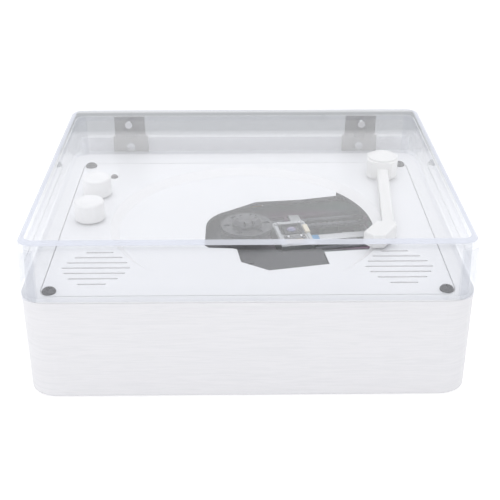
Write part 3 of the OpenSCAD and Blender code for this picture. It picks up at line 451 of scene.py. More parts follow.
@dataclass(frozen=True)
class ClearSheet:
    """Clear moulded plastic: it lets most light through, mirrors by angle and has a faint milky haze."""

    name: str
    tint: Colour = (0.985, 0.988, 0.996)
    haze: float = 0.10
    haze_colour: Colour = (0.93, 0.94, 0.97)
    mirror: float = 1.0
    gloss: float = 0.02
    cloud: float = 30.0
    head_on: float = 0.04

    def build(self) -> bpy.types.Material:
        """Returns the material: haze and mirror are mixed over a tinted see-through shader."""
        sheet = NodeSheet(self.name)
        clear = sheet.node("BsdfTransparent", Color=self.tint)
        cloud = sheet.noise(sheet.place(), self.cloud, 2.0)
        milk = sheet.node("BsdfDiffuse", Color=self.haze_colour)
        share = sheet.spread(cloud, self.haze * 0.9, self.haze * 1.1)
        body = sheet.node("MixShader", Fac=share)
        sheet.tree.links.new(clear.outputs[0], body.inputs[1])
        sheet.tree.links.new(milk.outputs[0], body.inputs[2])
        facing = sheet.node("LayerWeight", Blend=0.5).outputs["Facing"]
        steep = sheet.math("POWER", facing, 5.0)
        rise = sheet.math("MULTIPLY", steep, (1.0 - self.head_on) * self.mirror)
        fresnel = sheet.math("ADD", rise, self.head_on * self.mirror)
        gloss = sheet.node("BsdfGlossy", Color=(1.0, 1.0, 1.0), Roughness=self.gloss)
        both = sheet.node("MixShader", Fac=fresnel)
        sheet.tree.links.new(body.outputs[0], both.inputs[1])
        sheet.tree.links.new(gloss.outputs[0], both.inputs[2])
        return sheet.done(both.outputs[0])


@dataclass(frozen=True)
class DeckSatin:
    """White satin plastic with painted light on its slopes and painted shade on its window edge below the
    well's floor.
    """

    name: str = "deck_satin"
    colour: Colour = (0.845, 0.845, 0.855)
    # Painted light: the well's slopes are lighter, against their shade.
    slope_painted_light: Colour = (0.905, 0.895, 0.895)
    # Painted shade: the window's edge below the well's floor is painted near black.
    rim: Colour = (0.035, 0.035, 0.04)
    well_floor: float = 46.1 * MM
    slope_range: Pair = (0.85, 0.95)
    roughness: float = 0.38
    relief: float = 0.08
    depth: float = 0.03 * MM
    rounding: float = 0.35 * MM

    def build(self) -> bpy.types.Material:
        """Returns the material: the height in the part's coordinates picks the rim's painted shade."""
        sheet = NodeSheet(self.name)
        where = sheet.place()
        fine = sheet.noise(where, 1900.0, 2.0)
        cloud = sheet.noise(where, 40.0, 2.0)
        dull = tuple(c * 0.985 for c in self.colour)
        flat = sheet.mix(sheet.spread(cloud, 0.0, 1.0), dull, self.colour)
        normal = sheet.node("NewGeometry").outputs["Normal"]
        upward = sheet.node("SeparateXYZ", Vector=normal).outputs[2]
        # Painted light on the slopes, picked by how far the normal tilts.
        white = sheet.mix(sheet.spread(upward, 1.0, 0.0, self.slope_range), flat, self.slope_painted_light)
        # Painted shade on the window's edge, below the well's floor.
        low = sheet.math("LESS_THAN", sheet.coordinate(2), self.well_floor)
        shader = sheet.node(
            "BsdfPrincipled",
            Base_Color=sheet.mix(low, white, self.rim),
            Roughness=sheet.spread(fine, self.roughness * 0.85, self.roughness * 1.15),
            Normal=sheet.bump(fine, self.relief, self.depth, sheet.edge(self.rounding)),
        )
        return sheet.done(shader.outputs[0])


@dataclass(frozen=True)
class DrivePlate:
    """Dark plate of the disc drive, with painted reflection: the faint colours that the stressed cover lays
    over it are painted into its colour.
    """

    name: str = "drive_plate_dark"
    colour: Colour = (0.030, 0.031, 0.036)
    # Painted reflection: the cover's stress colours, green, grey and rose, painted on the plate.
    reflection_green: Colour = (0.030, 0.125, 0.095)
    grey: Colour = (0.075, 0.075, 0.085)
    reflection_rose: Colour = (0.190, 0.060, 0.140)
    stops: Triple = (0.36, 0.49, 0.62)
    band_scale: Triple = (3.0, 60.0, 3.0)
    full_at: float = 60.0 * MM
    roughness: float = 0.5
    relief: float = 0.1
    depth: float = 0.03 * MM
    rounding: float = 0.2 * MM

    def build(self) -> bpy.types.Material:
        """Returns the material: broad bands of painted reflection, green and rose, grow out of the dark
        towards the right.
        """
        sheet = NodeSheet(self.name)
        reflection_bands = sheet.noise(sheet.place(self.band_scale, -DRIVE_TURN), 1.0, 0.0, 0.5)
        ramp = sheet.node("ValToRGB", Fac=reflection_bands)
        elements = ramp.color_ramp.elements
        elements.new(self.stops[1])
        for element, position, colour in zip(elements, self.stops, (self.reflection_green, self.grey, self.reflection_rose)):
            element.position = position
            element.color = (*colour, 1.0)
        # The painted reflection grows in from x = 0 towards the right.
        right = sheet.spread(sheet.coordinate(0), 0.0, 1.0, (0.0, self.full_at))
        fine = sheet.noise(sheet.place(), 2400.0, 2.0)
        shader = sheet.node(
            "BsdfPrincipled",
            Base_Color=sheet.mix(right, self.colour, ramp.outputs[0]),
            Roughness=sheet.spread(fine, self.roughness * 0.85, self.roughness * 1.15),
            Normal=sheet.bump(fine, self.relief, self.depth, sheet.edge(self.rounding)),
        )
        return sheet.done(shader.outputs[0])


@dataclass(frozen=True)
class Glass:
    """A small coated lens: a dark blue base under a clear coat."""

    name: str = "coated_lens"
    blue: Colour = (0.05, 0.08, 0.20)
    violet: Colour = (0.25, 0.12, 0.32)

    def build(self) -> bpy.types.Material:
        """Returns the material: the facing angle shifts the coating from blue to violet."""
        sheet = NodeSheet(self.name)
        facing = sheet.node("LayerWeight", Blend=0.4).outputs["Facing"]
        shader = sheet.node("BsdfPrincipled", Base_Color=sheet.mix(facing, self.blue, self.violet))
        shader.inputs["Roughness"].default_value = 0.03
        shader.inputs["Coat Weight"].default_value = 1.0
        shader.inputs["Specular IOR Level"].default_value = 0.8
        return sheet.done(shader.outputs[0])


@dataclass(frozen=True)
class RibbonFoil:
    """Flat ribbon cable: white foil with fine conductor lines along its run."""

    name: str = "ribbon_foil"
    foil: Colour = (0.86, 0.87, 0.88)
    wire: Colour = (0.72, 0.73, 0.75)
    wires: float = 320.0
    depth: float = 0.04 * MM

    def build(self) -> bpy.types.Material:
        """Returns the material: a fine wave across the ribbon shades its conductors."""
        sheet = NodeSheet(self.name)
        wave = sheet.node("TexWave", Vector=sheet.place(turn=-DRIVE_TURN), Scale=self.wires)
        wave.bands_direction = "Y"
        value = wave.outputs[1]
        shader = sheet.node(
            "BsdfPrincipled",
            Base_Color=sheet.mix(value, self.foil, self.wire),
            Normal=sheet.bump(value, 0.2, self.depth),
        )
        shader.inputs["Roughness"].default_value = 0.3
        return sheet.done(shader.outputs[0])


class Finishes:
    """Every finish of the part, built once and found by name."""

    MOULDED = {
        "arm": Moulded("arm_satin", (0.83, 0.82, 0.80), 0.42, 0.015, 1900.0, 0.1, 0.0006),
        "knob": Moulded("knob_gloss", (0.84, 0.83, 0.82), 0.30, 0.012, 1500.0, 0.05, 0.0003, 0.3),
        "eye": Moulded("eye_gloss", (0.035, 0.02, 0.025), 0.12, 0.05, 900.0, 0.02, 0.0002, 0.8),
        "panel": Moulded("panel_texture", (0.66, 0.66, 0.67), 0.55, 0.03, 1300.0, 0.4, 0.0004),
        "black": Moulded("black_moulding", (0.022, 0.022, 0.025), 0.5, 0.08, 1600.0, 0.25),
        "front": Moulded("drive_front_texture", (0.030, 0.030, 0.034), 0.55, 0.06, 2200.0, 0.3),
        "hub": Moulded("hub_satin", (0.045, 0.045, 0.052), 0.38, 0.06, 1800.0, 0.15),
        "connector": Moulded("connector_nylon", (0.74, 0.67, 0.52), 0.45, 0.03, 1500.0, 0.1, 0.0001),
        "rubber": Moulded("foot_rubber", (0.025, 0.025, 0.026), 0.85, 0.1, 900.0, 0.5, 0.0005),
        "cone": Moulded("cone_paper", (0.03, 0.028, 0.027), 0.9, 0.25, 700.0, 0.8, 0.0002, 0.0, 0.3),
        "battery": Moulded("battery_wrap", (0.03, 0.10, 0.28), 0.2, 0.05, 300.0, 0.2, 0.0006, 0.4),
        "lead": Moulded("lead_insulation", (0.35, 0.02, 0.018), 0.4, 0.06, 900.0, 0.1, 0.0003),
        "board": Moulded("board_mask", (0.02, 0.10, 0.045), 0.3, 0.12, 500.0, 0.2, 0.0001, 0.3),
        "blue": Moulded("ribbon_end_blue", (0.10, 0.38, 0.72), 0.35, 0.03, 900.0, 0.05, 0.0001),
        "cloth": Moulded("grille_felt", (0.62, 0.62, 0.63), 0.95, 0.08, 1500.0, 0.9, 0.0002, 0.0, 0.4),
        "dark_print": Moulded("dark_film", (0.05, 0.05, 0.055), 0.25, 0.1, 1200.0, 0.1, 0.0001, 0.2),
        "film": Moulded("flex_film", (0.42, 0.30, 0.16), 0.35, 0.12, 900.0, 0.15, 0.0001, 0.2),
    }
    METALS = {
        "steel": Metal("brushed_steel", (0.52, 0.50, 0.485), 0.42),
        "leaf": Metal("hinge_leaf_steel", (0.20, 0.185, 0.17), 0.45, (1800.0, 1800.0, 60.0)),
        "rail_leaf": Metal("rail_leaf_steel", (0.37, 0.35, 0.33), 0.5, (1800.0, 1800.0, 60.0)),
        "gun": Metal("dark_rod", (0.10, 0.10, 0.11), 0.3),
        "bright": Metal("bright_plate", (0.78, 0.78, 0.80), 0.2, (300.0, 300.0, 300.0), 0.05),
        "black_steel": Metal("black_oxide", (0.055, 0.055, 0.06), 0.42, (400.0, 400.0, 400.0), 0.2,
                             0.0003),
        "cast": Metal("die_cast", (0.55, 0.56, 0.57), 0.5, (700.0, 700.0, 700.0), 0.35, 0.0002),
        "brass": Metal("brass_part", (0.70, 0.48, 0.16), 0.3),
    }

    CLEAR = {
        "clear_wall": ClearSheet("clear_wall", haze=0.06),
        "clear_top": ClearSheet("clear_top", haze=0.05),
        "clear_bend": ClearSheet("clear_bend", (0.97, 0.975, 0.985), 0.015),
        "clear_corner": ClearSheet("clear_corner", (0.92, 0.93, 0.95), 0.16, (0.68, 0.69, 0.73)),
        "clear_edge": ClearSheet("clear_edge", (0.80, 0.83, 0.93), 0.75, (0.74, 0.76, 0.83), 0.6, 0.05),
    }

    def __init__(self) -> None:
        """Builds the materials."""
        self.built: dict[str, bpy.types.Material] = {}
        for table in (self.MOULDED, self.METALS):
            for key, finish in table.items():
                self.built[key] = finish.build()
        self.built["case"] = WoodFilm().build()
        self.built["deck"] = DeckSatin().build()
        self.built["plate"] = DrivePlate().build()
        self.built["lens"] = Glass().build()
        self.built["ribbon"] = RibbonFoil().build()
        for key, finish in self.CLEAR.items():
            self.built[key] = finish.build()

    def dress(self, thing: bpy.types.Object, *keys: str) -> None:
        """Gives an object its finishes, one for each material slot.

        Args:
            thing: The object.
            keys: The finishes' names.
        """
        faces = thing.data.polygons
        looks = np.zeros(len(faces), np.int32)
        faces.foreach_get("material_index", looks)
        thing.data.materials.clear()
        for key in keys:
            thing.data.materials.append(self.built[key])
        faces.foreach_set("material_index", np.minimum(looks, len(keys) - 1))


# Surfaces


def new_piece(name: str, points: Points, faces: Faces, smooth_below: float = SMOOTH_BELOW,
              looks: NDArray[np.int64] | None = None,
              flat: NDArray[np.bool_] | None = None) -> bpy.types.Object:
    """Makes a mesh object at the origin from points in the part's coordinates.

    Args:
        name: The piece's name.
        points: Its points, in metres.
        faces: Its faces as lists of point numbers.
        smooth_below: Faces that meet at less than this angle, in degrees, are shaded smooth.
        looks: The material slot of each face.
        flat: True for each face that is shaded flat; faces of more than four corners always are.

    Returns:
        The object.
    """
    mesh = bpy.data.meshes.new(name)
    mesh.from_pydata(points.reshape(-1, 3).tolist(), [], faces)
    if looks is not None:
        mesh.polygons.foreach_set("material_index", looks.astype(np.int32))
    mesh.update()
    mesh.set_sharp_from_angle(angle=math.radians(smooth_below))
    level = np.array([len(f) > 4 for f in faces])
    if flat is not None:
        level |= flat
    mesh.polygons.foreach_set("use_smooth", ~level)
    thing = bpy.data.objects.new(name, mesh)
    bpy.context.scene.collection.objects.link(thing)
    return thing


def strip_faces(rows: int, columns: int, start: int = 0) -> Faces:
    """Quads of a grid whose rows are loops, facing outwards where these climb counter-clockwise.

    Args:
        rows: How many loops.
        columns: How many points each has.
        start: The number of the first point.

    Returns:
        The faces.
    """
    row = np.arange(rows - 1)[:, None] * columns + start
    i = np.arange(columns)[None, :]
    j = (i + 1) % columns
    quads = np.stack([row + i, row + j, row + columns + j, row + columns + i], -1)
    return quads.reshape(-1, 4).tolist()


def loop_shell(name: str, loops: Points, smooth_below: float = SMOOTH_BELOW,
               flat_strip: int = -1) -> bpy.types.Object:
    """A closed shell: loops of points stacked from the bottom up, with a flat face at each end.

    Args:
        name: The piece's name.
        loops: The loops, as rows by points by 3.
        smooth_below: The shading's angle in degrees.
        flat_strip: The strip of faces between two loops that is shaded flat, if any.

    Returns:
        The object.
    """
    rows, columns, _ = loops.shape
    faces = strip_faces(rows, columns)
    faces.append(list(range(columns))[::-1])
    faces.append(list(range((rows - 1) * columns, rows * columns)))
    flat = np.arange(len(faces)) // columns == flat_strip
    return new_piece(name, loops, faces, smooth_below, flat=flat)


def lathe(name: str, profile: Points, centre: Pair, segments: int,
          smooth_below: float = SMOOTH_BELOW) -> bpy.types.Object:
    """A round piece about an upright axis: the profile's radii are carried round a circle.

    Args:
        name: The piece's name.
        profile: Radius and height, from the bottom up, radii over 0.
        centre: The axis, x and y.
        segments: How many steps round.
        smooth_below: The shading's angle in degrees.

    Returns:
        The object.
    """
    angle = np.linspace(0.0, 2.0 * math.pi, segments, endpoint=False)
    ring = np.stack([np.cos(angle), np.sin(angle)], -1)
    xy = profile[:, None, :1] * ring[None] + np.array(centre)
    z = np.broadcast_to(profile[:, None, 1:], (len(profile), segments, 1))
    return loop_shell(name, np.concatenate([xy, z], -1), smooth_below)


def inset_outline(outline: Points, inset: float) -> Points:
    """A convex outline moved inwards: each corner goes along the bisector of its two edges.

    Args:
        outline: Corner points, counter-clockwise.
        inset: How far each edge moves in.

    Returns:
        The moved corners.
    """
    ahead = np.roll(outline, -1, 0) - outline
    ahead /= np.linalg.norm(ahead, axis=1)[:, None]
    normal = np.stack([-ahead[:, 1], ahead[:, 0]], -1)
    before = np.roll(normal, 1, 0)
    share = 1.0 + (normal * before).sum(1)
    return outline + inset * (normal + before) / share[:, None]


def block(name: str, outline: Points, low: float, high: float, bevel: float,
          steps: int = 3) -> bpy.types.Object:
    """An upright block over a convex outline, whose upper and lower edges are rounded by quarter arcs.

    Args:
        name: The piece's name.
        outline: Corner points, counter-clockwise.
        low: Its lower face's height.
        high: Its upper face's height.
        bevel: The rounding's radius.
        steps: The steps of each arc.

    Returns:
        The object.
    """
    turn = np.linspace(0.0, math.pi / 2, steps + 1)
    rise = bevel * (1.0 - np.cos(turn))
    tuck = bevel * (1.0 - np.sin(turn))
    rows = [(t, low + r) for t, r in zip(tuck, rise)]
    rows += [(t, high - r) for t, r in zip(tuck[::-1], rise[::-1])]
    loops = [np.column_stack([inset_outline(outline, t), np.full(len(outline), z)]) for t, z in rows]
    return loop_shell(name, np.array(loops), BLOCK_SMOOTH_BELOW, steps)


def cut_rectangle(width: float, length: float, cut: float) -> Points:
    """A rectangle about the origin with cut corners.

    Args:
        width: Its size along X.
        length: Its size along Y.
        cut: How much each corner's cut takes off both sides.

    Returns:
        The corners, counter-clockwise.
    """
    w, h = width / 2, length / 2
    return np.array([[-w + cut, -h], [w - cut, -h], [w, -h + cut], [w, h - cut],
                     [w - cut, h], [-w + cut, h], [-w, h - cut], [-w, -h + cut]])


def rounded_rectangle(width: float, length: float, radius: float, steps: int) -> Points:
    """A rectangle about the origin with round corners.

    Args:
        width: Its size along X.
        length: Its size along Y.
        radius: The corners' radius.
        steps: The steps of each corner.

    Returns:
        The points, counter-clockwise.
    """
    turn = np.linspace(0.0, math.pi / 2, steps + 1)
    parts = []
    for k, (sx, sy) in enumerate([(1, 1), (-1, 1), (-1, -1), (1, -1)]):
        a = turn + k * math.pi / 2
        middle = np.array([sx * (width / 2 - radius), sy * (length / 2 - radius)])
        parts.append(middle + radius * np.stack([np.cos(a), np.sin(a)], -1))
    return np.concatenate(parts)


@dataclass(frozen=True)
class Turned:
    """A flat frame turned about an upright axis, as the arm's and the disc drive's are."""

    x: float
    y: float
    degrees: float

    def out(self, points: Points) -> Points:
        """Turns points of the frame and moves them to the part's coordinates.

        Args:
            points: Points by 2 or by 3; heights stay as they are.

        Returns:
            The points in the part's coordinates.
        """
        a = math.radians(self.degrees)
        turn = np.array([[math.cos(a), math.sin(a)], [-math.sin(a), math.cos(a)]])
        moved = np.array(points, float)
        moved[..., :2] = moved[..., :2] @ turn + np.array([self.x, self.y])
        return moved


def middle_of(node: str) -> Pair:
    """Returns the middle of a CAD node's box, x and y, which is the axis of a round node."""
    low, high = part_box(node)
    return (low.x + high.x) / 2, (low.y + high.y) / 2


def keep(thing: bpy.types.Object, body: Body, slot: Slot, *nodes: str) -> None:
    """Lets a piece ride on its body and hides the CAD nodes that it stands for.

    Args:
        thing: The piece.
        body: The body that carries it.
        slot: The record's material slot; not used.
        nodes: The CAD nodes that it replaces.
    """
    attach(thing, body.value)
    if nodes:
        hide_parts(*nodes)


# Sub-assemblies


@dataclass
class ClearCover:
    """The clear cover: a rounded shell with leaning walls, thick rims and soft upper edges."""

    finishes: Finishes
    wall: float = 3.0 * MM
    lean: float = 1.0 * MM
    upper_round: float = 4.0 * MM
    inner_extra: float = 0.6 * MM
    corner: float = 9.0 * MM
    crease: float = 0.04
    corner_steps: int = 14
    round_steps: int = 8
    smooth_below: float = 40.0

    def loop(self, low: Points, high: Points, inset: float, z: float) -> Points:
        """One level loop of the shell: a rounded rectangle whose corner centres stay in place.

        Args:
            low: The cover's lowest corner.
            high: The cover's highest corner.
            inset: How far the loop lies inside the cover's lower edge.
            z: Its height.

        Returns:
            The loop's points.
        """
        size = high - low
        flat = rounded_rectangle(size[0] - 2 * inset, size[1] - 2 * inset, self.corner - inset,
                                 self.corner_steps)
        flat = flat + (low[:2] + high[:2]) / 2
        return np.column_stack([flat, np.full(len(flat), z)])

    def side(self, start: float, low: float, high: float, radius: float) -> list[Pair]:
        """Inset and height of a wall's profile: a leaning line and then a quarter arc.

        Args:
            start: The inset at the lower end.
            low: The lower end's height.
            high: The top's height.
            radius: The arc's radius.

        Returns:
            Pairs of inset and height, from the bottom up.
        """
        turn = np.linspace(0.0, math.pi / 2, self.round_steps + 1)
        inset = start + self.lean + radius * (1 - np.cos(turn))
        z = high - radius + radius * np.sin(turn)
        crease = (start + (1.0 - self.crease) * self.lean, z[0] - self.crease * (z[0] - low))
        return [(start, low), crease, *zip(inset.tolist(), z.tolist())]

    def looks(self, rows: int, count: int, bend: int) -> NDArray[np.int64]:
        """The finish of each face of one side of the shell, from its lower edge up.

        Args:
            rows: How many loops the side has.
            count: How many points a loop has.
            bend: How many strips of the upper arc stay clear before the tinted ones.

        Returns:
            The zone of each face, as a number.
        """
        wall = np.where(self.corners(count), Zone.CORNER.value, Zone.WALL.value)
        arc = [np.full(count, (Zone.BEND if k < bend else Zone.EDGE).value) for k in range(rows - 3)]
        return np.concatenate([wall, wall, *arc, [Zone.TOP.value]])

    def corners(self, count: int) -> NDArray[np.bool_]:
        """Returns, for each step along a loop of that many points, whether it lies in a corner."""
        return np.arange(count) % (count // 4) < self.corner_steps

    def build(self) -> None:
        """Makes the shell: outer loops up, a flat top, inner loops down and the rim between them."""
        low, high = (np.array(v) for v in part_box("clear_cover"))
        inner_round = self.upper_round - self.wall + self.inner_extra
        outer = self.side(0.0, low[2], high[2], self.upper_round)
        inner = self.side(self.wall, low[2], high[2] - self.wall, inner_round)
        points = np.array([self.loop(low, high, i, z) for i, z in outer + inner])
        rows, count = len(outer), points.shape[1]
        start = rows * count
        faces = strip_faces(rows, count)
        faces.append(list(range((rows - 1) * count, rows * count)))
        faces += [f[::-1] for f in strip_faces(rows, count, start)]
        faces.append(list(range(start + (rows - 1) * count, start + rows * count))[::-1])
        i = np.arange(count)
        j = (i + 1) % count
        faces += np.stack([start + i, start + j, j, i], -1).tolist()
        looks = np.concatenate([self.looks(rows, count, self.round_steps // 2),
                                self.looks(rows, count, rows), np.full(count, Zone.BEND.value)])
        level = np.zeros(len(faces), bool)
        for first in (0, (rows - 1) * count + 1):
            level[first:first + 2 * count] = np.tile(~self.corners(count), 2)
        shell = new_piece("cover_shell", points, faces, self.smooth_below, looks, level)
        self.finishes.dress(shell, *Finishes.CLEAR)
        keep(shell, Body.COVER, Slot.CLEAR, "clear_cover")


@dataclass
class Knobs:
    """The two white knobs: turned forms with soft shoulders and a shallow dish in the top."""

    finishes: Finishes
    shoulder: float = 1.1 * MM
    foot: float = 0.35 * MM
    dish: float = 0.35 * MM
    dish_edge: float = 0.92
    dish_middle: float = 0.05
    dish_power: float = 0.8
    dish_steps: int = 8
    pole: float = 0.3 * MM
    steps: int = 6
    segments: int = 96
    smooth_below: float = 30.0

    def profile(self, radius: float, low: float, high: float) -> Points:
        """Radius and height of a knob: a small foot, an upright side, an arc and a dished top.

        Args:
            radius: The knob's radius.
            low: Its lower face's height.
            high: Its highest point.

        Returns:
            The profile from the bottom up.
        """
        turn = np.linspace(0.0, math.pi / 2, self.steps + 1)
        arc = np.column_stack([radius - self.shoulder * (1 - np.cos(turn)),
                               high - self.shoulder * (1 - np.sin(turn))])
        share = np.linspace(self.dish_edge, self.dish_middle, self.dish_steps)
        sunk = self.dish * (1 - (share / self.dish_edge) ** 2) ** self.dish_power
        dish = np.column_stack([(radius - self.shoulder) * share, high - sunk])
        foot = np.array([[self.pole, low], [radius - self.foot, low], [radius, low + self.foot]])
        return np.concatenate([foot, arc, dish])

    def build(self) -> None:
        """Makes both knobs on their own bodies."""
        for node, body in (("volume_knob", Body.VOLUME), ("press_knob", Body.SELECTOR)):
            low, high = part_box(node)
            profile = self.profile((high.x - low.x) / 2, low.z, high.z)
            knob = lathe(node + "_turned", profile, middle_of(node), self.segments, self.smooth_below)
            self.finishes.dress(knob, "knob")
            keep(knob, body, Slot.KNOB, node)


@dataclass
class Arm:
    """The swinging arm: turret with a pointed cap, offset bar and low six-sided head."""

    finishes: Finishes
    rest_turn: float = -8.1
    bar_turn: float = 2.8
    head_turn: float = 8.1
    turret: float = 16.6 * MM
    turret_cut: float = 3.0 * MM
    turret_bevel: float = 0.5 * MM
    bar_width: float = 5.8 * MM
    bar_cut: float = 0.3 * MM
    bar_start: float = 3.0 * MM
    bar_crown: float = 0.05 * MM
    reach: float = 82.0 * MM
    head: Pair = (16.4 * MM, 15.5 * MM)
    head_overlap: float = 4.0 * MM
    bevel: float = 0.6 * MM
    cap_smooth_below: float = 24.0

    # Shares of half the head's width and length, counter-clockwise from the left.
    HEAD_CORNERS = ((-1.0, -0.4), (-0.54, -1.0), (0.12, -1.0), (1.0, 0.4), (1.0, 1.0), (-0.14, 1.0))
    # Millimetres inside the turret's radius and over the cap's foot.
    CAP_RIM = ((0.5, 0.0), (0.3, 0.4), (0.6, 0.8))
    # Shares of the turret's radius and of the cap's height.
    CAP_ROOF = ((0.75, 0.42), (0.5, 0.64), (0.25, 0.84), (0.1, 0.96))
    # The radii where the cap's profile starts and ends.
    CAP_POLES = (0.3 * MM, 0.2 * MM)

    def frame(self, turn: float = 0.0) -> Turned:
        """Returns the frame about the arm's pin, turned further than the arm at rest."""
        return Turned(*middle_of("arm_pin"), self.rest_turn + turn)

    def make_turret(self) -> bpy.types.Object:
        """Returns the turret: a block over a square with cut corners."""
        low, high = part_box("arm_turret")
        outline = cut_rectangle(self.turret, self.turret, self.turret_cut)
        return block("arm_turret_block", self.frame().out(outline), low.z, high.z, self.turret_bevel)

    def make_cap(self) -> bpy.types.Object:
        """Returns the cap: a turned roof whose radius falls from a small rim to its point."""
        low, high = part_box("arm_cap")
        radius = self.turret / 2
        rim = [(radius - back * MM, low.z + up * MM) for back, up in self.CAP_RIM]
        roof = [(radius * share, low.z + (high.z - low.z) * rise) for share, rise in self.CAP_ROOF]
        first, last = self.CAP_POLES
        profile = np.array([(first, low.z), *rim, *roof, (last, high.z)])
        return lathe("arm_cap_roof", profile, middle_of("arm_pin"), 64, self.cap_smooth_below)

    def make_head(self) -> bpy.types.Object:
        """Returns the head: a block over six corners, turned on the bar's end."""
        low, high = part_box("arm_head")
        middle = self.frame().out(np.array([[0.0, -self.reach]]))[0]
        frame = Turned(middle[0], middle[1], self.rest_turn + self.head_turn)
        outline = np.array(self.HEAD_CORNERS) * np.array(self.head) / 2
        return block("arm_head_block", frame.out(outline), low.z, high.z, self.bevel)

    def make_bar(self) -> bpy.types.Object:
        """Returns the bar: a beam from inside the turret to inside the head."""
        low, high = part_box("arm_bar")
        end = self.head[1] / 2 - self.reach - self.head_overlap
        start = self.bar_start - self.turret / 2
        outline = cut_rectangle(self.bar_width, start - end, self.bar_cut)
        outline[:, 1] += (start + end) / 2
        outline = self.frame(self.bar_turn).out(outline)
        return block("arm_bar_beam", outline, low.z, high.z + self.bar_crown, self.bevel)

    def build(self) -> None:
        """Makes the turret, cap, head and bar, each with rounded edges."""
        for thing, node in ((self.make_turret(), "arm_turret"), (self.make_cap(), "arm_cap"),
                            (self.make_head(), "arm_head"), (self.make_bar(), "arm_bar")):
            self.finishes.dress(thing, "arm")
            keep(thing, Body.ARM, Slot.ARM, node)


@dataclass(frozen=True)
class Fitting:
    """A small block on the pickup's top; its place is taken from the lens's axis."""

    name: str
    place: Pair
    size: Pair
    height: float
    finish: str
    slot: Slot = Slot.PICKUP
    sunk: float = 0.0


